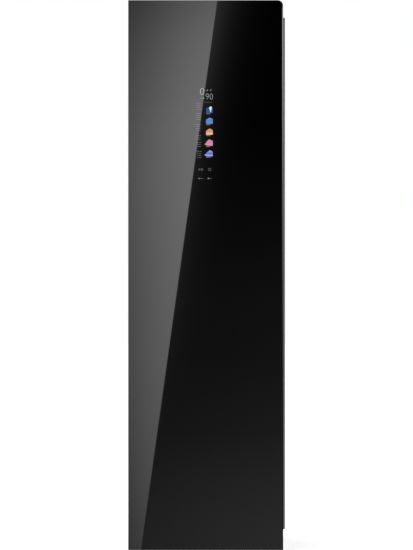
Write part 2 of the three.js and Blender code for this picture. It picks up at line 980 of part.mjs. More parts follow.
function steamNozzle() {
  const flangeLow = chamberFloor + seatGap;
  const flangeHigh = flangeLow + nozzleFlange;
  const headTop = flangeHigh + nozzleHeadHeight;
  const stemLow = linerBottom - nozzleStemLength;
  const profile = [
    [stemLow, 0],
    [stemLow, nozzleStemRadius],
    [flangeLow, nozzleStemRadius],
    [flangeLow, nozzleFlangeRadius],
    [flangeHigh, nozzleFlangeRadius],
    [flangeHigh, nozzleHeadRadius],
    [headTop - nozzleFlange, nozzleHeadRadius],
    [headTop, nozzleStemRadius],
    [headTop, 0],
  ];
  const bore = rod("z", nozzleX, nozzleY, nozzleBore, stemLow - overrun, headTop + overrun, smallSides);
  const body = cut(turned(profile, "z", nozzleX, nozzleY, smallSides), bore);
  return piece("steam_nozzle", body, darkPlastic);
}

function chamberLamp() {
  const lampFront = bodyFront + lampFrontRoom;
  const lampTop = chamberRoof - seatGap;
  const lampBottom = lampTop - lampHeight;
  const points = [
    point(lampFront, lampTop),
    point(lampFront, lampBottom + lampBevel),
    point(lampFront + lampBevel, lampBottom),
    point(lampFront + lampDepth - lampBevel, lampBottom),
    point(lampFront + lampDepth, lampBottom + lampBevel),
    point(lampFront + lampDepth, lampTop),
  ];
  return piece("chamber_lamp", prism(points, "x", -lampWidth / 2, lampWidth / 2), lampLens);
}

function garmentShelf() {
  const half = chamberHalfWidth - shelfSideRoom;
  const top = shelfBottom + shelfThickness;
  const tray = cut(
    block(-half, half, shelfFront, shelfRear, shelfBottom, top),
    block(
      -half + shelfWall,
      half - shelfWall,
      shelfFront + shelfWall,
      shelfRear - shelfWall,
      shelfBottom + shelfWall,
      top + overrun,
    ),
  );
  const pitch = (shelfRear - shelfFront - 2 * shelfSlotEnd) / shelfSlots;
  const slotLength = half - ledgeWidth - shelfSlotEnd;
  const slots = repeat(shelfSlots, (index) => {
    const y = shelfFront + shelfSlotEnd + index * pitch;
    return [-1, 1].map((side) => {
      const edges = [side * shelfSlotEnd / 2, side * slotLength];
      return block(
        Math.min(...edges),
        Math.max(...edges),
        y,
        y + pitch * shelfSlotShare,
        shelfBottom - overrun,
        top + overrun,
      );
    });
  });
  return piece("garment_shelf", cut(tray, slots.flat()), greyPlastic);
}

function lintFilter() {
  const half = filterWidth / 2;
  const flangeLow = chamberFloor + seatGap;
  const flangeHigh = flangeLow + filterFlangeHeight;
  const bottom = chamberFloor - filterDrop;
  const cage = block(-half, half, filterFront, filterRear, bottom, flangeHigh);
  const flange = block(
    -half - filterFlange,
    half + filterFlange,
    filterFront - filterFlange,
    filterRear + filterFlange,
    flangeLow,
    flangeHigh,
  );
  const meshPlane = (filterFront + filterRear) / 2;
  const windowPitch = (filterWidth - filterFrame) / filterWindows;
  const sides = [
    [filterFront - overrun, meshPlane - filterMesh / 2],
    [meshPlane + filterMesh / 2, filterRear + overrun],
  ];
  const windows = repeat(filterWindows, (index) => {
    const x = -half + filterFrame + index * windowPitch;
    return sides.map(([y0, y1]) =>
      block(x, x + windowPitch - filterFrame, y0, y1, bottom + filterFrame, flangeLow - filterFrame),
    );
  });
  const handleHalf = (filterWidth * filterHandleShare) / 2;
  const handleTop = flangeHigh + filterHandleHeight;
  const handle = cut(
    block(
      -handleHalf,
      handleHalf,
      meshPlane - filterHandleBar,
      meshPlane + filterHandleBar,
      flangeLow,
      handleTop,
    ),
    block(
      -handleHalf + filterHandleBar,
      handleHalf - filterHandleBar,
      filterFront,
      filterRear,
      flangeHigh,
      handleTop - filterHandleBar,
    ),
  );
  const inletRoom = half - handleHalf - filterFrame;
  const inletPitch = inletRoom / filterSlots;
  const inlets = repeat(filterSlots, (index) => {
    const x = handleHalf + filterFrame / 2 + index * inletPitch;
    return [-1, 1].map((side) => {
      const edges = [side * x, side * (x + inletPitch * filterSlotShare)];
      return block(
        Math.min(...edges),
        Math.max(...edges),
        meshPlane + filterMesh,
        filterRear - filterFrame / 2,
        flangeLow - filterFrame - overrun,
        flangeHigh + overrun,
      );
    });
  });
  const body = cut(joined([cage, flange]), windows.flat(), inlets.flat());
  return piece("lint_filter", joined([body, handle]), greyPlastic);
}

// Hanger shaker: a carriage on two rods, driven by a pinion in its rack
function mechanismDeck() {
  const half = linerHalfWidth;
  const floor = block(-half, half, deckFront, deckRear, deckBottom, deckTop);
  const upstands = [deckFront, deckRear - deckSheet].map((y) =>
    block(-half, half, y, y + deckSheet, deckBottom, deckTop + deckUpstand),
  );
  const earHalf = rodSpacing / 2 + rodRadius + deckEarRoom;
  const ears = [-deckEarX - deckEarSheet, deckEarX].map((x) =>
    prism(
      outline(
        -earHalf,
        earHalf,
        deckBottom,
        rodZ + rodRadius + deckEarRoom,
        [0, 0, deckEarRoom, deckEarRoom],
      ),
      "x",
      x,
      x + deckEarSheet,
    ),
  );
  const bores = [-rodSpacing / 2, rodSpacing / 2].map((y) =>
    rod("x", y, rodZ, rodRadius + seatGap, -halfWidth, halfWidth, smallSides),
  );
  const sheetMetal = joined([floor, ...upstands, ...ears]);
  return piece(
    "mechanism_deck",
    cut(sheetMetal, bores, postSlots(deckBottom - overrun, deckTop + overrun)),
    galvanised,
  );
}

function guideRod(name, y) {
  const half = deckEarX + deckEarSheet + rodOverhang;
  return piece(name, rod("x", y, rodZ, rodRadius, -half, half, smallSides), turnedSteel);
}

function rackPoints() {
  const pitch = Math.PI * gearModule;
  const halfTooth = (pitch / 2 - gearBacklash) / 2;
  const addendum = gearModule * rackAddendumShare;
  const dedendum = gearModule * dedendumShare;
  const tipHalf = halfTooth - addendum * Math.tan(pressureAngle);
  const rootHalf = halfTooth + dedendum * Math.tan(pressureAngle);
  const halfLength = (rackTeeth * pitch) / 2;
  const back = carriageHalfDepth - overrun;
  const teeth = repeat(rackTeeth, (index) => {
    const centre = -halfLength + (index + 1 / 2) * pitch;
    return [
      point(centre - rootHalf, rackPitchLine - dedendum),
      point(centre - tipHalf, rackPitchLine + addendum),
      point(centre + tipHalf, rackPitchLine + addendum),
      point(centre + rootHalf, rackPitchLine - dedendum),
    ];
  });
  return [
    point(-halfLength - gearModule, back),
    point(halfLength + gearModule, back),
    point(halfLength + gearModule, rackPitchLine - dedendum),
    ...teeth.flat().reverse(),
    point(-halfLength - gearModule, rackPitchLine - dedendum),
  ];
}

function hangerCarriage() {
  const bore = rodRadius + runningGap;
  const bearings = [-rodSpacing / 2, rodSpacing / 2].flatMap((y) =>
    [-bearingX, bearingX].map((x) =>
      block(
        x - bearingLength / 2,
        x + bearingLength / 2,
        y - bearingHalfHeight,
        y + bearingHalfHeight,
        rodZ - bearingHalfHeight,
        carriageUnder + carriagePlate / 2,
      ),
    ),
  );
  const plate = block(
    -carriageHalfLength,
    carriageHalfLength,
    -carriageHalfDepth,
    carriageHalfDepth,
    carriageUnder,
    carriageTop,
  );
  const rack = prism(rackPoints(), "z", carriageUnder, carriageUnder + rackThickness);
  const bores = [-rodSpacing / 2, rodSpacing / 2].map((y) =>
    rod("x", y, rodZ, bore, -halfWidth, halfWidth, smallSides),
  );
  return piece("hanger_carriage", cut(joined([plate, ...bearings, rack]), bores), nylon);
}

// Involute flanks, with a tooth space facing the rack
function pinionPoints() {
  const base = pinionPitchRadius * Math.cos(pressureAngle);
  const tip = pinionPitchRadius + gearModule * pinionAddendumShare;
  const root = pinionPitchRadius - gearModule * dedendumShare;
  const involute = (angle) => Math.tan(angle) - angle;
  const halfTooth = (Math.PI * gearModule) / 2 - gearBacklash;
  const halfAngle = halfTooth / 2 / pinionPitchRadius;
  const flankShares = [0, 1 / 2, 1];
  const flank = flankShares.map((share) => {
    const radius = base + (tip - base) * share;
    return [radius, halfAngle + involute(pressureAngle) - involute(Math.acos(base / radius))];
  });
  const halfProfile = [[root, flank[0][1]], ...flank];
  return repeat(pinionTeeth, (tooth) => {
    const centre = -Math.PI / 2 + ((tooth + 1 / 2) * 2 * Math.PI) / pinionTeeth;
    const rising = halfProfile.map(([radius, angle]) => [radius, centre - angle]);
    const falling = halfProfile.map(([radius, angle]) => [radius, centre + angle]).reverse();
    return [...rising, ...falling].map(([radius, angle]) =>
      point(radius * Math.cos(angle), pinionY + radius * Math.sin(angle)),
    );
  }).flat();
}

function shakerPinion() {
  const low = carriageUnder - seatGap;
  const high = carriageUnder + rackThickness + seatGap;
  const bore = rod(
    "z",
    0,
    pinionY,
    pinionShaftRadius + seatGap,
    low - overrun,
    high + overrun,
    smallSides,
  );
  return piece("shaker_pinion", cut(prism(pinionPoints(), "z", low, high), bore), nylon);
}

function shakerMotor() {
  const plateLow = carriageUnder + rackThickness + motorPlateRoom;
  const plateHigh = plateLow + motorPlate;
  const legFront = pinionY - motorLegSetback;
  const legRear = legFront + motorLegDepth;
  const plate = block(
    -motorPlateHalfWidth,
    motorPlateHalfWidth,
    pinionY - motorRadius,
    legRear,
    plateLow,
    plateHigh,
  );
  const legs = [-motorPlateHalfWidth, motorPlateHalfWidth - motorLeg].map((x) =>
    block(x, x + motorLeg, legFront, legRear, deckTop + seatGap, plateHigh),
  );
  const can = turned(
    [
      [plateLow, 0],
      [plateLow, motorRadius],
      [plateHigh + motorHeight - motorPlate, motorRadius],
      [plateHigh + motorHeight, motorRadius - motorPlate],
      [plateHigh + motorHeight, 0],
    ],
    "z",
    0,
    pinionY,
  );
  const shaft = rod(
    "z",
    0,
    pinionY,
    pinionShaftRadius,
    carriageUnder - motorPlate,
    plateHigh,
    smallSides,
  );
  const washer = rod(
    "z",
    0,
    pinionY,
    pinionShaftRadius * 2,
    carriageUnder - motorPlate,
    carriageUnder - 2 * seatGap,
    smallSides,
  );
  return piece("shaker_motor", joined([plate, ...legs, can, shaft, washer]), darkPlastic);
}

function hangerPlaces() {
  return [-hangerPitch, 0, hangerPitch];
}

function hangerRail() {
  const collarHalf = hangerWire + runningGap;
  const collars = hangerPlaces().flatMap((x) => [
    [x - collarHalf - railCollar, railRadius],
    [x - collarHalf - railCollar, railCollarRadius],
    [x - collarHalf, railCollarRadius],
    [x - collarHalf, railRadius],
    [x + collarHalf, railRadius],
    [x + collarHalf, railCollarRadius],
    [x + collarHalf + railCollar, railCollarRadius],
    [x + collarHalf + railCollar, railRadius],
  ]);
  const bar = turned(
    [
      [-railHalfLength, 0],
      [-railHalfLength, railCollarRadius],
      [-railHalfLength + railCapLength, railCollarRadius],
      [-railHalfLength + railCapLength, railRadius],
      ...collars,
      [railHalfLength - railCapLength, railRadius],
      [railHalfLength - railCapLength, railCollarRadius],
      [railHalfLength, railCollarRadius],
      [railHalfLength, 0],
    ],
    "x",
    0,
    railZ,
    railSides,
  );
  const posts = [-bearingX, bearingX].map((x) =>
    block(
      x - railPostWidth / 2,
      x + railPostWidth / 2,
      -railPostDepth / 2,
      railPostDepth / 2,
      railZ,
      carriageUnder - seatGap,
    ),
  );
  return piece("hanger_rail", joined([bar, ...posts]), turnedSteel);
}

// A hanger about the rail's axis: the hook goes over the rail and the shoulders run fore and aft.
function hangerShape() {
  const hookRadius = railRadius + seatGap + hangerWire;
  const turn = (degrees) => (degrees * Math.PI) / 180;
  const hookPath = arc(0, 0, hookRadius, turn(hookStart), turn(hookEnd), hookSteps);
  const hook = tube(
    [
      ...hookPath.map(({ x, y }) => [0, x, y]),
      [0, hangerWire / 2, -hookRadius - 2 * hangerWire],
      [0, 0, (-hookRadius - 2 * hangerWire - hangerNeck) / 2],
      [0, 0, -hangerNeck - hangerMember / 2],
    ],
    hangerWire,
    hookTubeSteps,
  );
  const half = (side) => [
    [hangerNeckHalf, -hangerNeck],
    [(hangerNeckHalf + hangerHalfSpan) / 2, (-hangerNeck - hangerShoulderEnd) / 2 + hangerMember / 2],
    [hangerHalfSpan - hangerMember / 2, -hangerShoulderEnd + hangerMember / 2],
    [hangerHalfSpan, -hangerShoulderEnd],
    [hangerHalfSpan - hangerMember / 2, -hangerShoulderEnd - hangerMember],
    [hangerBarHalf, -hangerBarBottom + hangerMember / 2],
    [hangerBarHalf - hangerMember / 2, -hangerBarBottom],
  ].map(([y, z]) => point(side * y, z));
  const hole = (side) => [
    [0, -hangerNeck - hangerMember],
    [
      (hangerNeckHalf + hangerHalfSpan) / 2 - hangerMember / 2,
      (-hangerNeck - hangerShoulderEnd) / 2 - hangerMember / 2,
    ],
    [hangerHalfSpan - 2 * hangerMember, -hangerShoulderEnd - hangerMember / 2],
    [hangerBarHalf - hangerMember, -hangerBarBottom + hangerMember],
  ].map(([y, z]) => point(side * y, z));
  const shoulders = prism(
    [...half(-1), ...half(1).reverse()],
    "x",
    -hangerThickness / 2,
    hangerThickness / 2,
    [[...hole(-1), ...hole(1).slice(1).reverse()]],
  );
  return joined([shoulders, hook]);
}

function hangers() {
  const shape = hangerShape();
  return hangerPlaces().map((x, index) => {
    const hanger = piece(`hanger_${index + 1}`, shape, darkPlastic);
    hanger.position.set(x, 0, railZ);
    return hanger;
  });
}

function controlBoard() {
  const x1 = linerHalfWidth - boardRightRoom;
  const x0 = x1 - boardWidth;
  const y0 = deckFront + boardFrontRoom;
  const y1 = y0 + boardDepth;
  const foot = deckTop + seatGap;
  const low = foot + boardStandoff;
  const high = low + boardThickness;
  const standoffs = [x0 + boardInset, x1 - boardInset].flatMap((x) =>
    [y0 + boardInset, y1 - boardInset].map((y) =>
      rod("z", x, y, boardStandoffRadius, foot, high, pipeSides),
    ),
  );
  // Each part: its corner and size as shares of the board, and its height as a share of the standoff
  const partShares = [
    [0.15, 0.12, 0.3, 0.25, 2.4],
    [0.55, 0.12, 0.16, 0.16, 3.2],
    [0.76, 0.14, 0.12, 0.2, 2],
    [0.15, 0.5, 0.22, 0.34, 0.5],
    [0.46, 0.42, 0.1, 0.44, 3.4],
    [0.66, 0.5, 0.2, 0.3, 1.6],
  ];
  const parts = partShares.map(([u, v, width, depth, height]) =>
    block(
      x0 + u * boardWidth,
      x0 + (u + width) * boardWidth,
      y0 + v * boardDepth,
      y0 + (v + depth) * boardDepth,
      low,
      high + height * boardStandoff,
    ),
  );
  const board = block(x0, x1, y0, y1, low, high);
  return piece("control_board", joined([board, ...standoffs, ...parts]), circuitGreen);
}

// Tanks and their bay. A tank's own frame has its left, front and lower faces at zero.
function tankPlaces() {
  const inner = bayDivider / 2 + tankSideRoom;
  return { supply: -inner - tankWidth, drain: inner };
}

function tankBay() {
  const outerHalf = bayDivider / 2 + 2 * tankSideRoom + tankWidth;
  const pocketRear = bayRear - bayWall;
  const pocketFloor = tankBottom - seatGap;
  const plate = block(
    -linerHalfWidth,
    linerHalfWidth,
    bodyFront,
    fasciaRear,
    panRim + seatGap,
    fasciaTop,
  );
  const box = block(
    -outerHalf - bayWall,
    outerHalf + bayWall,
    bodyFront,
    bayRear,
    pocketFloor - bayWall,
    bayTop + bayWall,
  );
  const pockets = [-outerHalf, bayDivider / 2].map((x) =>
    block(
      x,
      x + outerHalf - bayDivider / 2,
      bodyFront - overrun,
      pocketRear,
      pocketFloor,
      bayTop,
    ),
  );
  return piece("tank_bay", cut(joined([plate, box]), pockets), darkPlastic);
}

function tankShape() {
  const radii = [tankRadius, tankRadius, tankRadius, tankRadius];
  const inner = radii.map((radius) => radius - tankWall);
  const shell = prism(outline(0, tankWidth, 0, tankDepth, radii), "z", 0, tankHeight);
  const cavity = prism(
    outline(tankWall, tankWidth - tankWall, tankWall, tankDepth - tankWall, inner),
    "z",
    tankWall,
    tankHeight + overrun,
  );
  const left = (tankWidth - tankPullWidth) / 2;
  const top = tankHeight - tankPullDrop;
  const pocket = (grow) =>
    block(
      left - grow,
      left + tankPullWidth + grow,
      grow > 0 ? tankWall / 2 : -overrun,
      tankPullDepth + grow,
      top - tankPullHeight - grow,
      top + grow,
    );
  return cut(joined([cut(shell, cavity), pocket(tankWall)]), pocket(0));
}

function tankLidShape(mouthRadius) {
  const low = tankHeight + seatGap;
  const high = low + tankLidHeight;
  const radii = [tankRadius, tankRadius, tankRadius, tankRadius];
  const inset = tankWall + seatGap;
  const skirtRadii = radii.map((radius) => radius - inset);
  const skirtHoleRadii = radii.map((radius) => Math.max(radius - inset - tankWall, 0));
  const plate = prism(outline(0, tankWidth, 0, tankDepth, radii), "z", low, high - tankMouthRim);
  const skirt = prism(
    outline(inset, tankWidth - inset, inset, tankDepth - inset, skirtRadii),
    "z",
    low - tankLidSkirt,
    high - tankMouthRim,
    [
      outline(
        inset + tankWall,
        tankWidth - inset - tankWall,
        inset + tankWall,
        tankDepth - inset - tankWall,
        skirtHoleRadii,
      ),
    ],
  );
  const centre = [tankWidth / 2, (tankDepth * 2) / 3];
  const rim = rod("z", ...centre, mouthRadius + tankMouthRim, low, high, smallSides);
  const mouthLow = low - overrun - tankLidSkirt;
  const mouth = rod("z", ...centre, mouthRadius, mouthLow, high + overrun, smallSides);
  return cut(joined([plate, skirt, rim]), mouth);
}

function tank(name, x, mouthRadius) {
  const set = group(
    piece(name, tankShape(), clearPlastic),
    piece(`${name}_lid`, tankLidShape(mouthRadius), greyPlastic),
  );
  set.position.set(x, tankFront, tankBottom);
  return set;
}

// Air duct with the two heat exchangers, from the lint filter to the blower
function airDuct() {
  const tunnel = cut(
    block(-ductHalfWidth, ductHalfWidth, ductFront, ductRear, ductBottom, ductTop),
    block(
      -ductHalfWidth + ductWall,
      ductHalfWidth - ductWall,
      ductFront + ductWall,
      ductRear - ductWall,
      ductBottom + ductWall,
      ductTop - ductWall,
    ),
  );
  const filterMouth = block(
    -filterWidth / 2 - filterSlotGap,
    filterWidth / 2 + filterSlotGap,
    filterFront - filterSlotGap,
    filterRear + filterSlotGap,
    ductTop - ductWall - overrun,
    ductTop + overrun,
  );
  const blowerMouth = rod(
    "y",
    blowerX,
    blowerZ,
    blowerInletRadius,
    ductRear - ductWall - overrun,
    ductRear + overrun,
  );
  const stubHoles = [evaporatorY, condenserY].flatMap((y) =>
    stubHeights().map((z) =>
      rod("x", y, z, coilStubRadius + runningGap, ductHalfWidth / 2, halfWidth, smallSides),
    ),
  );
  return piece("air_duct", cut(tunnel, filterMouth, blowerMouth, stubHoles), darkPlastic);
}

function stubHeights() {
  const middle = (ductBottom + ductTop) / 2;
  return [middle - coilStubSpread / 2, middle + coilStubSpread / 2];
}

function heatExchanger(name, y) {
  const half = ductHalfWidth - ductWall - coilRoom;
  const low = ductBottom + ductWall + seatGap;
  const high = ductTop - ductWall - coilRoom;
  const pitch = (2 * half - finThickness) / (finCount - 1);
  const core = block(-half, half, y - coilCore / 2, y + coilCore / 2, low, high);
  const fins = repeat(finCount, (index) => {
    const x = -half + index * pitch;
    return block(x, x + finThickness, y - coilDepth / 2, y + coilDepth / 2, low, high);
  });
  const stubs = stubHeights().map((z) =>
    rod("x", y, z, coilStubRadius, half - finThickness, ductHalfWidth + coilStubProud, pipeSides),
  );
  return piece(name, joined([core, ...fins, ...stubs]), finAluminium);
}

// Blower: a forward-curved impeller in a spiral housing that opens upwards
function scrollPoints(inset) {
  const steps = scrollSteps;
  const start = tongueAngle;
  const end = 2 * Math.PI;
  const spiral = repeat(steps + 1, (step) => {
    const share = step / steps;
    const angle = start + (end - start) * share;
    const radius = scrollStart + scrollGrowth * share - inset;
    return point(blowerX + radius * Math.cos(angle), blowerZ + radius * Math.sin(angle));
  });
  const top = inset > 0 ? ductTop + overrun : ductTop;
  return [
    ...spiral,
    point(outletRight - inset, top),
    point(outletLeft + inset, top),
    point(outletLeft + inset, blowerZ + scrollStart * Math.sin(start)),
  ];
}

function blowerHousing() {
  const shell = prism(scrollPoints(0), "y", scrollFront, scrollRear);
  const inside = prism(
    scrollPoints(scrollWall),
    "y",
    scrollFront + scrollWall,
    scrollRear - scrollWall,
  );
  const inlet = rod(
    "y",
    blowerX,
    blowerZ,
    blowerInletRadius,
    scrollFront - overrun,
    scrollFront + scrollWall + overrun,
  );
  const shaftHole = rod(
    "y",
    blowerX,
    blowerZ,
    blowerShaftRadius + blowerShaftRoom,
    scrollRear - scrollWall - overrun,
    scrollRear + overrun,
    smallSides,
  );
  return piece("blower_housing", cut(shell, inside, inlet, shaftHole), darkPlastic);
}

function bladePoints(index) {
  const inner = impellerRadius - bladeLength;
  const angle = (index * 2 * Math.PI) / impellerBlades;
  const edge = (radius, share, offset) => {
    const turn = angle + bladeLean * share + offset / radius;
    return point(blowerX + radius * Math.cos(turn), blowerZ + radius * Math.sin(turn));
  };
  const middle = inner + bladeLength / 2;
  const middleShare = 0.32;
  return [
    edge(inner, 0, -bladeThickness / 2),
    edge(middle, middleShare, -bladeThickness / 2),
    edge(impellerRadius, 1, -bladeThickness / 2),
    edge(impellerRadius, 1, bladeThickness / 2),
    edge(middle, middleShare, bladeThickness / 2),
    edge(inner, 0, bladeThickness / 2),
  ];
}

function blowerImpeller() {
  const back = scrollRear - impellerRoom;
  const nose = back - impellerLength;
  const blades = repeat(impellerBlades, (index) =>
    prism(bladePoints(index), "y", nose + impellerPlate / 2, back - impellerPlate / 2),
  );
  const innerRadius = impellerRadius - bladeLength;
  const ring = prism(
    circle(blowerX, blowerZ, impellerRadius),
    "y",
    nose,
    nose + impellerPlate,
    [circle(blowerX, blowerZ, innerRadius)],
  );
  const plate = rod("y", blowerX, blowerZ, impellerRadius, back - impellerPlate, back);
  const hub = turned(
    [
      [back - impellerLength / 2, 0],
      [back - impellerLength / 2, impellerHubRadius / 2],
      [back - impellerPlate, impellerHubRadius],
      [back, impellerHubRadius],
      [back, 0],
    ],
    "y",
    blowerX,
    blowerZ,
    smallSides,
  );
  const bore = rod(
    "y",
    blowerX,
    blowerZ,
    blowerShaftRadius + seatGap,
    nose,
    back + overrun,
    smallSides,
  );
  return piece("blower_impeller", cut(joined([ring, plate, hub, ...blades]), bore), darkPlastic);
}

function blowerMotor() {
  const start = scrollRear + seatGap;
  const end = start + blowerMotorLength;
  const can = turned(
    [
      [start, 0],
      [start, blowerMotorFlange],
      [start + blowerMotorPlate, blowerMotorFlange],
      [start + blowerMotorPlate, blowerMotorRadius],
      [end - blowerMotorPlate, blowerMotorRadius],
      [end, blowerMotorRadius - blowerMotorPlate],
      [end, 0],
    ],
    "y",
    blowerX,
    blowerZ,
  );
  const shaftTip = scrollRear - impellerRoom - impellerLength / 2;
  const shaft = rod("y", blowerX, blowerZ, blowerShaftRadius, shaftTip, start + overrun, smallSides);
  return piece("blower_motor", joined([can, shaft]), galvanised);
}

// Refrigerant compressor with its accumulator, on rubber feet
const compressorX = panHalfWidth - compressorSideRoom - compressorRadius;
const compressorY = panRear - compressorRearRoom - compressorRadius;
const compressorLow = panFloor + seatGap + compressorFootHeight;
const compressorHigh = compressorLow + compressorHeight;
const accumulatorX = compressorX + compressorRadius + accumulatorRadius / 2;

function compressor() {
  const domeShares = [
    [0, 0.55],
    [0.55, 0.88],
    [1, 1],
  ];
  const lowerDome = domeShares.map(([rise, width]) => [
    compressorLow + rise * compressorDome,
    width * compressorRadius,
  ]);
  const upperDome = domeShares
    .map(([rise, width]) => [compressorHigh - rise * compressorDome, width * compressorRadius])
    .reverse();
  const shell = turned(
    [[compressorLow, 0], ...lowerDome, ...upperDome, [compressorHigh, 0]],
    "z",
    compressorX,
    compressorY,
  );
  const plateHalf = compressorRadius + compressorFootRadius;
  const plate = block(
    compressorX - plateHalf,
    compressorX + plateHalf,
    compressorY - compressorFootRadius - compressorPlate,
    compressorY + compressorFootRadius + compressorPlate,
    compressorLow,
    compressorLow + compressorPlate,
  );
  const crossPlate = block(
    compressorX - compressorFootRadius - compressorPlate,
    compressorX + compressorFootRadius + compressorPlate,
    compressorY - plateHalf,
    compressorY,
    compressorLow,
    compressorLow + compressorPlate,
  );
  const footReach = compressorRadius;
  const feet = [
    [-footReach, 0],
    [footReach, 0],
    [0, -footReach],
  ].map(([x, y]) =>
    rod(
      "z",
      compressorX + x,
      compressorY + y,
      compressorFootRadius,
      panFloor + seatGap,
      compressorLow + compressorPlate / 2,
      smallSides,
    ),
  );
  const stub = rod(
    "z",
    compressorX,
    compressorY,
    pipeRadius,
    compressorHigh - compressorDome,
    compressorHigh + compressorStubHeight,
    pipeSides,
  );
  const accumulator = rod(
    "z",
    accumulatorX,
    compressorY,
    accumulatorRadius,
    compressorLow + accumulatorBottom,
    compressorLow + accumulatorBottom + accumulatorHeight,
    smallSides,
  );
  return piece(
    "compressor",
    joined([shell, plate, crossPlate, ...feet, stub, accumulator]),
    darkTrim,
  );
}

function dischargePipe() {
  const start = compressorHigh + compressorStubHeight + seatGap;
  const [z] = stubHeights();
  const end = ductHalfWidth + coilStubProud + seatGap;
  const bend = pipeBend;
  return piece(
    "discharge_pipe",
    tube(
      [
        [compressorX, compressorY, start],
        [compressorX, compressorY, start + bend],
        [compressorX, compressorY - bend, start + 2 * bend],
        [compressorX, condenserY + 2 * bend, z - bend],
        [compressorX - bend, condenserY, z],
        [end + bend, condenserY, z],
        [end, condenserY, z],
      ],
      pipeRadius,
    ),
    copper,
  );
}

function suctionPipe() {
  const end = compressorLow + accumulatorBottom + accumulatorHeight + seatGap;
  const [, z] = stubHeights();
  const start = ductHalfWidth + coilStubProud + seatGap;
  const bend = pipeBend;
  return piece(
    "suction_pipe",
    tube(
      [
        [start, evaporatorY, z],
        [start + bend, evaporatorY, z],
        [accumulatorX - bend, evaporatorY + bend, z],
        [accumulatorX, evaporatorY + 3 * bend, z - bend],
        [accumulatorX, compressorY - 2 * bend, end + 3 * bend],
        [accumulatorX, compressorY, end + bend],
        [accumulatorX, compressorY, end],
      ],
      pipeRadius,
    ),
    copper,
  );
}

// Steam generator with its hose to the nozzle
const pumpY = bayRear + pumpFrontRoom + pumpBlock / 2;
const boilerX = -panHalfWidth + boilerSideRoom + boilerWidth / 2;
const boilerY = panRear - boilerRearRoom - boilerDepth / 2;
const boilerLow = panFloor + seatGap + boilerFoot;
const boilerHigh = boilerLow + boilerHeight;

function steamGenerator() {
  const radii = [boilerRadius, boilerRadius, boilerRadius, boilerRadius];
  const around = (grow, low, high) =>
    prism(
      outline(
        boilerX - boilerWidth / 2 - grow,
        boilerX + boilerWidth / 2 + grow,
        boilerY - boilerDepth / 2 - grow,
        boilerY + boilerDepth / 2 + grow,
        radii,
      ),
      "z",
      low,
      high,
    );
  const pitch = boilerHeight / boilerRibs;
  const ribs = repeat(boilerRibs, (index) => {
    const low = boilerLow + (index + 1 / 2) * pitch - boilerRib / 2;
    return around(boilerRib, low, low + boilerRib);
  });
  const feet = [-1, 1].map((side) =>
    block(
      boilerX + (side * boilerWidth) / 2 - boilerFoot,
      boilerX + (side * boilerWidth) / 2 + boilerFoot,
      boilerY - boilerDepth / 2 + boilerRadius,
      boilerY + boilerDepth / 2 - boilerRadius,
      panFloor + seatGap,
      boilerLow + boilerRib,
    ),
  );
  const stub = rod("z", boilerX, boilerY, hoseBore, boilerLow, boilerHigh + boilerFoot, smallSides);
  return piece(
    "steam_generator",
    joined([around(0, boilerLow, boilerHigh), ...ribs, ...feet, stub]),
    finAluminium,
  );
}

function steamHose() {
  const low = boilerHigh + boilerFoot + seatGap;
  const high = linerBottom - nozzleStemLength - seatGap;
  const bend = boilerHeight / 2;
  return piece(
    "steam_hose",
    tube(
      [
        [boilerX, boilerY, low],
        [boilerX, boilerY, low + bend],
        [(boilerX + nozzleX) / 2, (boilerY + nozzleY) / 2, (low + high) / 2],
        [nozzleX, nozzleY, high - bend],
        [nozzleX, nozzleY, high],
      ],
      hoseRadius,
    ),
    rubber,
  );
}

function pump(name, side) {
  const centreX = side * (panHalfWidth - pumpSideRoom - pumpBlock / 2);
  const low = panFloor + seatGap;
  const high = low + pumpBlock + pumpFoot;
  const foot = block(
    centreX - pumpBlock / 2 - pumpFoot,
    centreX + pumpBlock / 2 + pumpFoot,
    pumpY - pumpBlock / 2,
    pumpY + pumpBlock / 2,
    low,
    low + pumpFoot,
  );
  const head = block(
    centreX - pumpBlock / 2,
    centreX + pumpBlock / 2,
    pumpY - pumpBlock / 2,
    pumpY + pumpBlock / 2,
    low,
    high,
  );
  const middle = (low + high) / 2;
  const motor = rod(
    "y",
    centreX,
    middle,
    pumpMotorRadius,
    pumpY,
    pumpY + pumpBlock / 2 + pumpMotorLength,
  );
  const ports = [-1, 1].map((end) =>
    rod(
      "z",
      centreX + (end * pumpBlock) / 4,
      pumpY - pumpBlock / 4,
      pumpPortRadius,
      middle,
      high + pumpPortLength,
      pipeSides,
    ),
  );
  return piece(name, joined([foot, head, motor, ...ports]), greyPlastic);
}

// Door
function doorOutline(inset, radius) {
  return outline(
    -halfWidth + inset,
    halfWidth - inset,
    doorBottom + inset,
    cabinetHeight - inset,
    [0, 0, radius, 0],
    doorCornerSteps,
  );
}

function glassOutline(grow) {
  return outline(
    -halfWidth + rimLeft - grow,
    halfWidth - rimRight + grow,
    doorBottom + rimBottom - grow,
    cabinetHeight - rimTop + grow,
    [0, 0, doorCornerRadius - rimRight + grow, 0],
    doorCornerSteps,
  );
}

// The corner of the door that a hinge takes up: end is 1 at the top and -1 at the bottom.
function hingeCorner(end, grow, reach) {
  const [low, high] =
    end > 0
      ? [topNotchFloor - reach - grow, cabinetHeight + overrun]
      : [doorBottom - overrun, bottomNotchRoof + reach + grow];
  return block(
    -halfWidth - overrun,
    pinX + notchRight + grow,
    webRear,
    doorRear + overrun,
    low,
    high,
  );
}

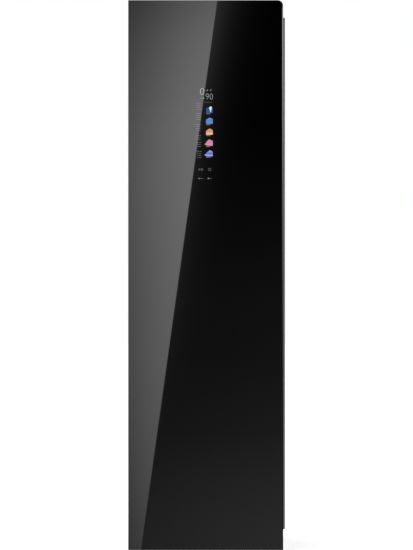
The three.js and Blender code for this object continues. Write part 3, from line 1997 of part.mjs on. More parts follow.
function doorFrame() {
  const shell = prism(doorOutline(0, doorCornerRadius), "y", front, doorRear);
  const recess = prism(glassOutline(seatGap), "y", front - overrun, recessRear);
  const inside = prism(
    doorOutline(doorWall, doorCornerRadius - doorWall),
    "y",
    webRear,
    doorRear + overrun,
  );
  const blockRear = innerPanelFront - seatGap;
  const hingeBlocks = [1, -1].map((end) => {
    const [low, high] =
      end > 0
        ? [topNotchFloor - hingeBlockHeight, cabinetHeight - doorWall / 2]
        : [doorBottom + doorWall / 2, bottomNotchRoof + hingeBlockHeight];
    return block(
      -halfWidth + doorWall / 2,
      pinX + notchRight + hingeBlockWall,
      webRear - doorWeb / 2,
      blockRear,
      low,
      high,
    );
  });
  const bushHoles = [
    [topNotchFloor - bushLength - seatGap, topNotchFloor + overrun],
    [bottomNotchRoof - overrun, bottomNotchRoof + bushLength + seatGap],
  ].map(([low, high]) => rod("z", pinX, pinY, bushRadius + seatGap, low, high));
  const gripSlot = block(
    gripLeft - overrun,
    halfWidth + overrun,
    webRear,
    gripRear + seatGap,
    doorBottom + gripBottom - seatGap,
    cabinetHeight - gripTop + seatGap,
  );
  const [left, right, low, high] = displayEdges();
  const displayHole = block(
    left - seatGap,
    right + seatGap,
    front,
    webRear + overrun,
    low - seatGap,
    high + seatGap,
  );
  const hollow = joined([cut(shell, recess, inside), ...hingeBlocks]);
  return piece(
    "door_frame",
    cut(
      hollow,
      hingeCorner(1, 0, 0),
      hingeCorner(-1, 0, 0),
      bushHoles,
      gripSlot,
      displayHole,
    ),
    darkTrim,
  );
}

function doorGlass() {
  return piece("door_glass", prism(glassOutline(0), "y", front, glassRear), mirrorGlass);
}

// The plastic liner of the door, with a raised field that stands in the chamber's mouth
function doorInnerPanel() {
  const inset = doorWall + seatGap;
  const sheetBody = prism(doorOutline(inset, doorCornerRadius - inset), "y", innerPanelFront, doorRear);
  const wall = innerPanelWall;
  const field = (shrink, y0, y1) => {
    const half = fieldHalfWidth - shrink;
    const low = fieldBottom + shrink;
    const high = fieldTop - shrink;
    const base = outline(-half, half, low, high);
    const crown = outline(
      -half + fieldTaper,
      half - fieldTaper,
      low + fieldTaper,
      high - fieldTaper,
    );
    return loft(base, crown, y0, y1);
  };
  const raised = field(0, doorRear - wall / 2, doorRear + fieldRise);
  const hollow = field(wall, innerPanelFront - overrun, doorRear + fieldRise - wall);
  const body = cut(joined([sheetBody, raised]), hollow, hingeCorner(1, seatGap, hingeBlockHeight));
  return piece(
    "door_inner_panel",
    cut(body, hingeCorner(-1, seatGap, hingeBlockHeight)),
    chamberPlastic,
  );
}

// A body between two outlines of as many points, one at each end along Y
function loft(base, crown, y0, y1) {
  const count = base.length;
  const places = [
    ...base.flatMap(({ x, y }) => [x, y0, y]),
    ...crown.flatMap(({ x, y }) => [x, y1, y]),
  ];
  const faces = THREE.ShapeUtils.triangulateShape(base, []);
  const baseCap = faces.flatMap(([a, b, c]) => [a, b, c]);
  const crownCap = faces.flatMap(([a, b, c]) => [c + count, b + count, a + count]);
  const walls = repeat(count, (index) => {
    const next = (index + 1) % count;
    return [index, index + count, next, next, index + count, next + count];
  });
  const geometry = new THREE.BufferGeometry();
  geometry.setAttribute("position", new THREE.Float32BufferAttribute(places, 3));
  geometry.setIndex([...baseCap, ...crownCap, ...walls.flat()]);
  return solid(geometry);
}

function doorInsulation() {
  const inset = doorWall + seatGap;
  const slab = block(
    -halfWidth + inset,
    gripLeft - gripInsulationRoom,
    webRear + seatGap,
    innerPanelFront - seatGap,
    doorBottom + inset,
    cabinetHeight - inset,
  );
  const [left, right, low, high] = displayEdges();
  const room = runningGap;
  const displayRoom = block(
    left - room,
    right + room,
    front,
    glassRear + seatGap + displayFrontDepth + displayBackDepth + displayRearRoom,
    low - room,
    high + room,
  );
  const grow = hingeBlockWall + seatGap;
  return piece(
    "door_insulation",
    cut(
      slab,
      displayRoom,
      hingeCorner(1, grow, hingeBlockHeight),
      hingeCorner(-1, grow, hingeBlockHeight),
    ),
    foam,
  );
}

function doorGasket() {
  const ring = (inner, width, y0, y1) =>
    prism(
      outline(-inner - width, inner + width, linerBottom - width - inner + gasketInner,
        linerTop + width + inner - gasketInner),
      "y",
      y0,
      y1,
      [outline(-inner, inner, linerBottom - inner + gasketInner, linerTop + inner - gasketInner)],
    );
  const rootInner = gasketInner + (gasketWidth - gasketRootWidth) / 2;
  const rootFront = doorRear + seatGap;
  const bulb = ring(gasketInner, gasketWidth, rootFront + gasketRootHeight, bodyFront - seatGap);
  const root = ring(
    rootInner,
    gasketRootWidth,
    rootFront,
    rootFront + gasketRootHeight + gasketRootHeight / 2,
  );
  return piece("door_gasket", joined([bulb, root]), rubber);
}

function gripRail() {
  const noseRight = halfWidth + gripProud;
  const noseLeft = halfWidth + seatGap;
  const noseFront = gripFront - gripNoseFront;
  const noseRear = gripFront + gripWall + gripNoseRear;
  const channelRight = gripLeft + gripWall;
  const points = [
    [gripLeft, gripFront],
    [noseLeft, gripFront],
    [noseLeft, noseFront + gripNoseBevel],
    [noseLeft + gripNoseBevel, noseFront],
    [noseRight - gripNoseBevel, noseFront],
    [noseRight, noseFront + gripNoseBevel],
    [noseRight, noseRear - gripNoseBevel],
    [noseRight - gripNoseBevel, noseRear],
    [noseRight - gripNoseThickness + gripNoseBevel / 2, noseRear],
    [noseRight - gripNoseThickness, noseRear - gripNoseBevel],
    [noseLeft, gripFront + gripWall],
    [channelRight, gripFront + gripWall],
    [channelRight, gripRear - gripWall],
    [halfWidth, gripRear - gripWall],
    [halfWidth, gripRear],
    [gripLeft, gripRear],
  ].map(([x, y]) => point(x, y));
  return piece(
    "grip_rail",
    prism(points, "z", doorBottom + gripBottom, cabinetHeight - gripTop),
    anodisedGrey,
  );
}

function displayEdges() {
  const middle = cabinetHeight - displayCentreDrop;
  return [
    displayCentreX - displayWidth / 2,
    displayCentreX + displayWidth / 2,
    middle - displayHeight / 2,
    middle + displayHeight / 2,
  ];
}

function displayModule() {
  const [left, right, low, high] = displayEdges();
  const face = glassRear + seatGap;
  const step = face + displayFrontDepth;
  const lens = block(left, right, face, step, low, high);
  const box = block(
    left + displayBackInset,
    right - displayBackInset,
    step - displayFrontDepth / 2,
    step + displayBackDepth,
    low + displayBackInset,
    high - displayBackInset,
  );
  return piece("display_module", joined([lens, box]), darkPlastic);
}

const { supply, drain } = tankPlaces();

const casing = group(
  basePan(),
  sidePanel("left_side_panel", -1),
  sidePanel("right_side_panel", 1),
  topCover(),
  rearCover(),
  upperFascia(),
  powerInlet(),
  footPlaces().map((place, index) => levellingFoot(index, place)),
  topHingeBracket(),
  bottomHingeBracket(),
);

const chamber = group(
  chamberLiner(),
  insulation("left_insulation", -1),
  insulation("right_insulation", 1),
  rearInsulation(),
  floorGrille(),
  steamNozzle(),
  chamberLamp(),
  garmentShelf(),
  lintFilter(),
);

const shaker = group(
  mechanismDeck(),
  guideRod("front_guide_rod", -rodSpacing / 2),
  guideRod("rear_guide_rod", rodSpacing / 2),
  hangerCarriage(),
  hangerRail(),
  shakerPinion(),
  shakerMotor(),
  hangers(),
  controlBoard(),
);

const lowerFront = group(
  tankBay(),
  tank("supply_tank", supply, tankMouthRadius),
  tank("drain_tank", drain, tankMouthRadius / 2),
);

const machine = group(
  airDuct(),
  heatExchanger("evaporator", evaporatorY),
  heatExchanger("condenser", condenserY),
  blowerHousing(),
  blowerImpeller(),
  blowerMotor(),
  compressor(),
  dischargePipe(),
  suctionPipe(),
  steamGenerator(),
  steamHose(),
  pump("feed_pump", -1),
  pump("drain_pump", 1),
);

const door = group(
  doorFrame(),
  doorGlass(),
  doorInnerPanel(),
  doorInsulation(),
  doorGasket(),
  gripRail(),
  displayModule(),
  hingeBush("top_hinge_bush", topNotchFloor + seatGap + bushFlange, -1),
  hingeBush("bottom_hinge_bush", bottomBushLow, 1),
);

// The grip stands proud of the right side, so the cabinet sits that half to the left of the middle.
const cabinet = group(casing, chamber, shaker, lowerFront, machine, door);
cabinet.position.x = -gripProud / 2;

export default cabinet;
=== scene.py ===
"""Dresses a clothes care steam cabinet and sets it on a studio stage."""

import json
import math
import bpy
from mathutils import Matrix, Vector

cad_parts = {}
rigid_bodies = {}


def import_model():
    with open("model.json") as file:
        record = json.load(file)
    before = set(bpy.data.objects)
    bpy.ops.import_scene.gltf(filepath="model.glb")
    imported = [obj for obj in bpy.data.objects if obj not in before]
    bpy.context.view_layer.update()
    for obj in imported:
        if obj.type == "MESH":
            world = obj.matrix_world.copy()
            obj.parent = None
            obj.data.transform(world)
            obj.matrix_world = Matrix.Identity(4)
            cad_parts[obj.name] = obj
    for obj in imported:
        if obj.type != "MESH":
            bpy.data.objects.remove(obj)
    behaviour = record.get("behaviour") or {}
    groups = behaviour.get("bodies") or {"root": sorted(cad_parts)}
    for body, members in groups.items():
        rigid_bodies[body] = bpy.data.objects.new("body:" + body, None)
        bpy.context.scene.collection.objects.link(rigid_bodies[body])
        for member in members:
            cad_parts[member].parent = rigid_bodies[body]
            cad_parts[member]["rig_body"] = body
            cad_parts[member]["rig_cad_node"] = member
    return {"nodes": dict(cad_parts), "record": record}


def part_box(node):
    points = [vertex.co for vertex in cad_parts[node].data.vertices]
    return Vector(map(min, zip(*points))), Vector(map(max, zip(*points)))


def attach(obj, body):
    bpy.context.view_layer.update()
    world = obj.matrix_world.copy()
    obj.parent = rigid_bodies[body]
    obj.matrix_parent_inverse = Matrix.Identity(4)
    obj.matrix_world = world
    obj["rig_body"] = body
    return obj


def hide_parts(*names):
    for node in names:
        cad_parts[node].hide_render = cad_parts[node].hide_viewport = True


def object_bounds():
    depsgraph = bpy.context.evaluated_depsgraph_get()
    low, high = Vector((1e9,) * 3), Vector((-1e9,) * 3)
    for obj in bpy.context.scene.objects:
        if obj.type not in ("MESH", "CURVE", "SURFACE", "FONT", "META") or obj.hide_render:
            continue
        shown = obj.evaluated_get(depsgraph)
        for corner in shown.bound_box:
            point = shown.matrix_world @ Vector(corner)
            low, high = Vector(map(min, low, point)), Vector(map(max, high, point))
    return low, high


bl_info = {
    "name": "Clothes Care Steam Cabinet",
    "version": (1, 0, 0),
    "blender": (4, 5, 0),
    "location": "View3D > Sidebar > Cabinet",
    "description": "Finishes a clothes care steam cabinet and sets its studio stage",
    "category": "Object",
}

from contextlib import contextmanager

import bpy
from mathutils import Vector

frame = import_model()
NODES = frame["nodes"]
CAD_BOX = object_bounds()
RECORD = frame["record"]
SLOT_OF = {part["node"]: part["material_slot"] for part in RECORD["subparts"]}
BODY_OF = {node: body for body, members in RECORD["behaviour"]["bodies"].items() for node in members}

MM = 0.001
FRONT = (0, -1, 0)
BACK = (0, 1, 0)
UP = (0, 0, 1)
# Stands up what is made flat, so that it faces the front
UPRIGHT = (math.pi / 2, 0, 0)
WHITE = (1, 1, 1, 1)
MERGE = 0.005 * MM
NEAR_ARC = 4 * MERGE
FLAT_ANGLE = math.radians(1)
# A face faces a direction when its normal reaches further than this along it
ALONG = 0.9

# The frame's arc at the door's upper corner by the grip, and the degrees between its points
CORNER_ARC = 15 * MM
ARC_STEP = 15
# The outlines with such an arc: how far each lies in from the rim's right side and from its top
RIM_OUTLINE = (0, 0)
RIM_INSIDE = (3 * MM, 3 * MM)
PANEL_OUTLINE = (3.3 * MM, 3.3 * MM)
GLASS_RECESS = (3.4 * MM, 1.4 * MM)
GLASS_OUTLINE = (3.7 * MM, 1.7 * MM)


# Sizes and colours

def length(name, description, default, lowest=0.0):
    values = {"min": lowest, "subtype": "DISTANCE", "unit": "LENGTH", "precision": 5}
    return bpy.props.FloatProperty(name=name, description=description, default=default, **values)


def level(name, description, default, unit="NONE"):
    return bpy.props.FloatProperty(name=name, description=description, default=default, min=0, unit=unit)


def colour(name, description, default):
    values = {"size": 3, "min": 0, "max": 1, "subtype": "COLOR"}
    return bpy.props.FloatVectorProperty(name=name, description=description, default=default, **values)


class CabinetFinishes(bpy.types.PropertyGroup):
    """Colours of the finishes"""

    glass: colour("Glass", "Coating behind the door's glass", (0.0003, 0.0003, 0.0004))
    anodised: colour("Anodised grip", "Satin anodised aluminium of the grip", (0.138, 0.138, 0.142))
    trim: colour("Door trim", "Black gloss rim about the glass", (0.004, 0.004, 0.0045))
    casing: colour("Casing paint", "Satin paint of the sides and top", (0.042, 0.043, 0.046))
    galvanised: colour("Galvanised sheet", "Zinc coat of the rear cover and base pan", (0.48, 0.49, 0.5))
    chamber: colour("Chamber moulding", "Pale moulding of the chamber and door", (0.68, 0.68, 0.66))
    dark_plastic: colour("Dark moulding", "Dark moulded plastic", (0.03, 0.031, 0.033))
    grey_plastic: colour("Grey moulding", "Mid grey moulded plastic", (0.27, 0.28, 0.29))
    smoke: colour("Smoked moulding", "Translucent moulding of the water tanks", (0.36, 0.44, 0.48))
    foam: colour("Foam", "Closed-cell insulation", (0.72, 0.66, 0.52))
    rubber: colour("Rubber", "Gasket, hose and feet", (0.045, 0.045, 0.047))
    nylon: colour("Nylon", "Bushes, carriage, pinion and screen", (0.74, 0.71, 0.64))
    steel: colour("Turned steel", "Rail, rods and hinge brackets", (0.56, 0.56, 0.57))
    fins: colour("Fin aluminium", "Coils and steam generator", (0.66, 0.67, 0.68))
    copper: colour("Copper", "Refrigerant pipes", (0.7, 0.33, 0.19))
    compressor: colour("Compressor paint", "Black stoved paint", (0.012, 0.012, 0.013))
    board: colour("Circuit board", "Solder mask", (0.012, 0.09, 0.045))
    lens: colour("Lamp lens", "Frosted lens of the chamber's lamp", (0.86, 0.84, 0.78))


class CabinetDoorSizes(bpy.types.PropertyGroup):
    """Sizes of the door's rim and glass"""

    rim_bevel: length("Rim bevel", "Bevel round the front of the door's rim", 0.6 * MM)
    grip_side_bevel: length("Grip side bevel", "Width of the rim's bevel beside the grip", 3.2 * MM)
    grip_side_fall: length("Grip side fall", "How far that bevel falls back", 1.2 * MM)
    corner_radius: length("Corner radius", "Radius of the door's upper corner by the grip", 19 * MM)
    glass_setback: length("Glass setback", "Glass face behind the door's front plane", 0.15 * MM)
    glass_bevel: length("Glass bevel", "Ground edge of the glass", 0.35 * MM)
    mark_depth: length("Mark depth", "Thickness of the lit marks in the glass face", 0.12 * MM)


class CabinetSheetSizes(bpy.types.PropertyGroup):
    """Sizes of the casing's screws and louvres"""

    screw_radius: length("Screw radius", "Radius of a pan head", 3.6 * MM)
    screw_rise: length("Screw rise", "How far a pan head stands proud of its sheet", 0.7 * MM)
    screw_pitch: length("Screw pitch", "Most that the rear cover's screws lie apart", 300 * MM, 10 * MM)
    screw_inset: length("Screw inset", "Rear cover's screws from its edges", 10 * MM)
    louvre_drop: length("Louvre drop", "How far a louvre's blade hangs in its slot", 7 * MM)
    louvre_reach: length("Louvre reach", "How far a louvre's blade leans inwards", 6 * MM)


class CabinetFilterSizes(bpy.types.PropertyGroup):
    """Sizes of the lint filter's woven screen"""

    thread: length("Thread", "Thickness of the threads", 0.45 * MM)
    pitch: length("Thread pitch", "From one thread to the next", 1.8 * MM, 0.1 * MM)


class CabinetDisplayLook(bpy.types.PropertyGroup):
    """Colours and strength of the display's marks"""

    white: colour("Figures", "Lit figures", (0.62, 0.68, 0.66))
    grey: colour("Lines", "Faint lines and bars", (0.26, 0.275, 0.27))
    touch: colour("Touch marks", "Marks over the touch points", (0.22, 0.23, 0.225))
    strength: level("Strength", "Light that the marks give off", 1.0)


class CabinetStage(bpy.types.PropertyGroup):
    """Places of the camera and cards, and strengths of the lamps"""

    camera_side: length("Camera side", "Camera's place to the right of the cabinet's middle", -0.0004, -10)
    camera_height: length("Camera height", "Camera's height over the floor", 0.9296)
    camera_distance: length("Camera distance", "From the camera to the door's face", 10.0, 1.0)
    picture_height: length("Picture height", "Height at the door's face that fills the picture", 1.8415, 0.1)
    card_distance: length("Card distance", "From the door's face to the cards that it mirrors", 1.2)
    world_fill: level("Fill", "Light of the surroundings on matt surfaces", 0.78)
    key_power: level("Key power", "Power of the soft key lamp", 34, "POWER")
    side_power: level("Side power", "Power of the soft side and rear lamps", 16, "POWER")


PROPERTY_GROUPS = {
    "cabinet_finishes": CabinetFinishes,
    "cabinet_door": CabinetDoorSizes,
    "cabinet_sheet": CabinetSheetSizes,
    "cabinet_filter": CabinetFilterSizes,
    "cabinet_display": CabinetDisplayLook,
    "cabinet_stage": CabinetStage,
}


# Modelling helpers

def only(piece):
    bpy.ops.object.select_all(action="DESELECT")
    piece.hide_set(False)
    piece.select_set(True)
    bpy.context.view_layer.objects.active = piece


def settle(piece):
    only(piece)
    bpy.ops.object.transform_apply(location=True, rotation=True, scale=True)


def added(make, sides=(1, 1, 1), **values):
    """What an operator adds with these values, stretched to its sides and with its place in its mesh."""
    bpy.ops.object.select_all(action="DESELECT")
    make(**values)
    piece = bpy.context.active_object
    piece.scale = sides
    settle(piece)
    return piece


def block(low, high):
    low, high = Vector(low), Vector(high)
    return added(bpy.ops.mesh.primitive_cube_add, high - low, size=1, location=(low + high) / 2)


def duplicate(piece):
    only(piece)
    bpy.ops.object.duplicate()
    return bpy.context.active_object


@contextmanager
def picked(piece, kind, test):
    """Edit mode with just the faces, edges or vertices selected that pass the test."""
    mesh = piece.data
    for group in (mesh.vertices, mesh.edges, mesh.polygons):
        group.foreach_set("select", [False] * len(group))
    chosen = {"FACE": mesh.polygons, "EDGE": mesh.edges, "VERT": mesh.vertices}[kind]
    for item in chosen:
        item.select = test(item)
    bpy.context.tool_settings.mesh_select_mode = (kind == "VERT", kind == "EDGE", kind == "FACE")
    only(piece)
    bpy.ops.object.mode_set(mode="EDIT")
    yield
    bpy.ops.object.mode_set(mode="OBJECT")


@contextmanager
def all_picked(piece):
    """Edit mode with the whole piece selected."""
    only(piece)
    bpy.context.tool_settings.mesh_select_mode = (True, False, False)
    bpy.ops.object.mode_set(mode="EDIT")
    bpy.ops.mesh.select_all(action="SELECT")
    yield
    bpy.ops.object.mode_set(mode="OBJECT")


def facing(direction):
    axis = Vector(direction)
    return lambda face: face.normal.dot(axis) > ALONG


def places_of(piece, part):
    """Where the vertices of an edge or face lie."""
    return [piece.data.vertices[index].co for index in part.vertices]


def modifier(piece, kind, **values):
    only(piece)
    made = piece.modifiers.new(kind.title(), kind)
    for name, value in values.items():
        setattr(made, name, value)
    bpy.ops.object.modifier_apply(modifier=made.name)


def soften(piece, width, segments=2, angle=35):
    """Bevels the edges whose faces turn by more than the angle."""
    values = {"limit_method": "ANGLE", "angle_limit": math.radians(angle), "harden_normals": False}
    modifier(piece, "BEVEL", width=width, segments=segments, **values)


def smooth(piece, angle=40):
    """Smooth shading up to an angle, with flat faces kept flat beside their rounded edges."""
    only(piece)
    bpy.ops.object.shade_smooth_by_angle(angle=math.radians(angle))
    modifier(piece, "WEIGHTED_NORMAL", weight=100, keep_sharp=True)


def merged(pieces):
    """Several shells as one piece."""
    bpy.ops.object.select_all(action="DESELECT")
    for piece in pieces:
        piece.select_set(True)
    bpy.context.view_layer.objects.active = pieces[0]
    bpy.ops.object.join()
    return bpy.context.active_object


def dress(piece, name, slot, body, *stands_for):
    """Names a finished piece, gives it its finish and hangs it on its body."""
    piece.name = name
    piece.data.name = name
    piece.data.materials.clear()
    piece.data.materials.append(finish_of(slot) if isinstance(slot, str) else slot)
    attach(piece, body)
    if stands_for:
        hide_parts(*stands_for)


def copied(node):
    """A merged copy of a CAD node's mesh, with its flat faces whole again."""
    piece = duplicate(NODES[node])
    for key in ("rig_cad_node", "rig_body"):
        if key in piece:
            del piece[key]
    piece.parent = None
    with all_picked(piece):
        bpy.ops.mesh.remove_doubles(threshold=MERGE)
        bpy.ops.mesh.dissolve_limited(angle_limit=FLAT_ANGLE)
    return piece


def softened(node, width, segments=2, angle=35, shading=40):
    """Stands a copy of the CAD node with its edges rounded in its place."""
    piece = copied(node)
    soften(piece, width, segments, angle)
    smooth(piece, shading)
    dress(piece, node + "_piece", SLOT_OF[node], BODY_OF[node], node)


# Shader helpers

class Shading:
    """A shader tree, with a short way to add each node that the finishes share."""

    def __init__(self, tree):
        self.tree = tree

    def node(self, kind, inputs=None, **settings):
        """A new node with these settings, its inputs linked to sockets or set to values."""
        made = self.tree.nodes.new(kind)
        for name, value in settings.items():
            setattr(made, name, value)
        for name, value in (inputs or {}).items():
            if isinstance(value, bpy.types.NodeSocket):
                self.tree.links.new(value, made.inputs[name])
            else:
                made.inputs[name].default_value = value
        return made

    def maths(self, operation, a, b=0.0, clamp=False):
        return self.node("ShaderNodeMath", {0: a, 1: b}, operation=operation, use_clamp=clamp).outputs[0]

    def add(self, a, b):
        return self.maths("ADD", a, b)

    def times(self, a, b):
        return self.maths("MULTIPLY", a, b)

    def weighted(self, a, a_share, b, b_share):
        return self.add(self.times(a, a_share), self.times(b, b_share))

    def vector(self, operation, a, b):
        return self.node("ShaderNodeVectorMath", {0: a, 1: b}, operation=operation).outputs[0]

    def axis(self, vector, name):
        return self.node("ShaderNodeSeparateXYZ", {0: vector}).outputs[name]

    def noise(self, vector, scale, detail=3.0, rough=0.5, output="Fac"):
        inputs = {"Vector": vector, "Scale": scale, "Detail": detail, "Roughness": rough}
        return self.node("ShaderNodeTexNoise", inputs).outputs[output]

    def cells(self, vector, scale):
        return self.node("ShaderNodeTexVoronoi", {"Vector": vector, "Scale": scale}).outputs

    def spread(self, value, low, high):
        """A value from 0 to 1 carried to low to high."""
        inputs = {"Value": value, "To Min": low, "To Max": high}
        return self.node("ShaderNodeMapRange", inputs).outputs["Result"]

    def share(self, value, start, end, **settings):
        """A value from start to end carried to 0 to 1."""
        inputs = {"Value": value, "From Min": start, "From Max": end}
        return self.node("ShaderNodeMapRange", inputs, **settings).outputs["Result"]

    def mix(self, factor, one, other):
        """The first colour where the factor is 0 and the other where it is 1."""
        inputs = {0: factor, 6: opaque(one), 7: opaque(other)}
        return self.node("ShaderNodeMix", inputs, data_type="RGBA").outputs[2]

    def varied(self, factor, base, low, high):
        """A colour times low where the factor is 0 and times high where it is 1."""
        return self.mix(factor, toned(base, low), toned(base, high))

    def either(self, factor, one, other):
        """The first number where the factor is 0 and the other where it is 1."""
        return self.node("ShaderNodeMix", {0: factor, 2: one, 3: other}, data_type="FLOAT").outputs[0]

    def ramp(self, value, stops):
        made = self.node("ShaderNodeValToRGB", {"Fac": value})
        elements = made.color_ramp.elements
        while len(elements) < len(stops):
            elements.new(0.5)
        for element, (place, grey) in zip(elements, stops):
            element.position = place
            element.color = (grey, grey, grey, 1)
        return made.outputs["Color"]

    def glow(self, strength):
        return self.node("ShaderNodeEmission", {"Color": WHITE, "Strength": strength}).outputs[0]


class Finish(Shading):
    """A material whose shader has these constants and whose patterns read Object coordinates."""

    def __init__(self, name, **constants):
        self.material = bpy.data.materials.new(name)
        self.material.use_nodes = True
        super().__init__(self.material.node_tree)
        self.shader = next(node for node in self.tree.nodes if node.type == "BSDF_PRINCIPLED")
        for label, value in constants.items():
            self.shader.inputs[label.replace("_", " ")].default_value = value
        self.place = self.node("ShaderNodeTexCoord").outputs["Object"]

    def effect(self, name, **inputs):
        """The outputs of an effect's group, placed with these values."""
        inputs["Vector"] = self.place
        return self.node("ShaderNodeGroup", inputs, node_tree=group_of(name)).outputs

    def feed(self, **values):
        for label, value in values.items():
            self.tree.links.new(value, self.shader.inputs[label.replace("_", " ")])

    def finished(self, tone, roughness, height, strength, depth):
        """The material, with its colour, roughness and bumps fed in."""
        inputs = {"Strength": strength, "Distance": depth, "Height": height}
        bumps = self.node("ShaderNodeBump", inputs).outputs["Normal"]
        self.feed(Base_Color=tone, Roughness=roughness, Normal=bumps)
        return self.material


def opaque(tint):
    """A colour with its alpha; a socket stays as it is."""
    return tint if isinstance(tint, bpy.types.NodeSocket) else (*tint, 1)


def toned(base, factor):
    return tuple(min(1.0, channel * factor) for channel in base)


def emptied(holder):
    """The shader tree of a material or world, with nothing in it."""
    holder.use_nodes = True
    holder.node_tree.nodes.clear()
    return Shading(holder.node_tree)


# Effects that the finishes share

def moulded_grain(tree, given):
    """Fine spark-eroded grain of a moulding, with the faint mottle of its flow."""
    fine = tree.noise(given["Vector"], given["Grain"], 2.0, 0.6)
    pits = tree.cells(given["Vector"], given["Grain"])["Distance"]
    slow = tree.noise(given["Vector"], given["Mottle"], 4.0, 0.55)
    return {
        "Height": tree.weighted(fine, 0.6, pits, 0.4),
        "Variation": slow,
        "Gloss": tree.weighted(slow, 0.7, fine, 0.3),
    }


def brushed_lines(tree, given):
    """Fine lines drawn along one direction, with the slow bands that a belt leaves."""
    drawn = tree.vector("MULTIPLY", given["Vector"], given["Stretch"])
    fine = tree.noise(drawn, given["Lines"], 3.0, 0.65)
    bands = tree.noise(drawn, tree.times(given["Lines"], 0.12), 2.0)
    return {"Height": fine, "Variation": tree.weighted(fine, 0.5, bands, 0.5)}


def handling_marks(tree, given):
    """Soft smears where hands and a cloth have been, and small specks."""
    wide = tree.noise(given["Vector"], given["Size"], 5.0, 0.6)
    wiped = tree.vector("MULTIPLY", given["Vector"], (1.0, 1.0, 0.18))
    strokes = tree.noise(wiped, tree.times(given["Size"], 4.0), 3.0, 0.55)
    dots = tree.cells(given["Vector"], tree.times(given["Size"], 40.0))["Distance"]
    smears = tree.share(tree.times(wide, strokes), 0.2, 0.42)
    return {"Smears": smears, "Specks": tree.share(dots, 0.05, 0.0)}


def settled_dust(tree, given):
    """Fine dust that settles on what faces up."""
    normal = tree.node("ShaderNodeNewGeometry").outputs["Normal"]
    upward = tree.share(tree.axis(normal, "Z"), 0.6, 1.0)
    patchy = tree.spread(tree.noise(given["Vector"], 9.0, 6.0, 0.7), 0.2, 1.0)
    return {"Mask": tree.maths("MULTIPLY", tree.times(upward, patchy), given["Amount"], clamp=True)}


def rubbed_edges_and_corner_shade(tree, given):
    """Edges rubbed a little brighter, and painted shade that darkens the concave corners."""
    point = tree.node("ShaderNodeNewGeometry").outputs["Pointiness"]
    broken = tree.spread(tree.noise(given["Vector"], 60.0, 4.0, 0.6), 0.3, 1.0)
    return {
        "Bright": tree.times(tree.share(point, 0.53, 0.6), broken),
        # Painted shade: a mask of the concave corners, which are darkened where it is used
        "Grime": tree.times(tree.share(point, 0.48, 0.42), broken),
    }


def zinc_spangle(tree, given):
    """Crystal flakes of a zinc coat."""
    warp = tree.noise(given["Vector"], 60.0, 2.0, output="Color")
    bent = tree.vector("MULTIPLY", warp, (0.006, 0.006, 0.006))
    flakes = tree.cells(tree.vector("ADD", given["Vector"], bent), given["Flakes"])
    tone = tree.node("ShaderNodeSeparateColor", {0: flakes["Color"]}).outputs[0]
    return {"Tone": tone, "Height": tree.weighted(tone, 0.7, flakes["Distance"], 0.3)}


def foam_cells(tree, given):
    """Small closed cells of a cut foam face."""
    cells = tree.cells(given["Vector"], given["Cells"])["Distance"]
    slow = tree.noise(given["Vector"], 14.0, 4.0, 0.6)
    return {"Tone": tree.weighted(cells, 0.5, slow, 0.5), "Height": cells}


# Each effect's group: its name, what builds it, and its inputs beside Vector with their defaults
EFFECTS = {
    "moulded": ("Moulded Grain", moulded_grain, {"Grain": 900.0, "Mottle": 6.0}),
    "brushed": ("Brushed Lines", brushed_lines, {"Stretch": (1.0, 1.0, 1.0), "Lines": 1400.0}),
    "handling": ("Handling Marks", handling_marks, {"Size": 5.0}),
    "dust": ("Settled Dust", settled_dust, {"Amount": 0.4}),
    "edges": ("Rubbed Edges", rubbed_edges_and_corner_shade, {}),
    "spangle": ("Zinc Spangle", zinc_spangle, {"Flakes": 200.0}),
    "cells": ("Foam Cells", foam_cells, {"Cells": 700.0}),
}
built_groups = {}


def group_of(name):
    """An effect's group, built when it is first used."""
    if name not in built_groups:
        label, build, inputs = EFFECTS[name]
        group = bpy.data.node_groups.new(label, "ShaderNodeTree")
        sockets = group.interface
        sockets.new_socket(name="Vector", in_out="INPUT", socket_type="NodeSocketVector")
        for socket_name, default in inputs.items():
            kind = "NodeSocketVector" if isinstance(default, tuple) else "NodeSocketFloat"
            sockets.new_socket(name=socket_name, in_out="INPUT", socket_type=kind).default_value = default
        results = build(Shading(group), group.nodes.new("NodeGroupInput").outputs)
        for socket_name in results:
            sockets.new_socket(name=socket_name, in_out="OUTPUT", socket_type="NodeSocketFloat")
        Shading(group).node("NodeGroupOutput", results)
        built_groups[name] = group
    return built_groups[name]


# Finishes

def plastic(name, base, rough, grain=900.0, dust=0.12, **constants):
    """Moulded plastic with painted shade in its concave corners and a little dust."""
    made = Finish(name, **constants)
    moulded = made.effect("moulded", Grain=grain)
    tone = made.varied(moulded["Variation"], base, 0.93, 1.07)
    # Painted shade: the concave corners are darkened towards 0.6 of the colour
    corner_shaded = made.mix(made.times(made.effect("edges")["Grime"], 0.35), tone, toned(base, 0.6))
    dusty = made.mix(made.effect("dust", Amount=dust)["Mask"], corner_shaded, (0.42, 0.41, 0.39))
    return made.finished(dusty, made.spread(moulded["Gloss"], *rough), moulded["Height"], 0.35, 0.02 * MM)


def metal(name, base, rough, stretch, lines, metallic=1.0, **constants):
    """Bare metal with drawn lines, rubbed edges and faint smears."""
    made = Finish(name, Metallic=metallic, **constants)
    lined = made.effect("brushed", Stretch=stretch, Lines=lines)
    tone = made.varied(lined["Variation"], base, 0.9, 1.1)
    bright = made.mix(made.times(made.effect("edges")["Bright"], 0.3), tone, toned(base, 1.35))
    smears = made.times(made.effect("handling", Size=9.0)["Smears"], 0.05)
    roughness = made.add(made.spread(lined["Variation"], *rough), smears)
    return made.finished(bright, roughness, lined["Height"], 0.3, 0.01 * MM)


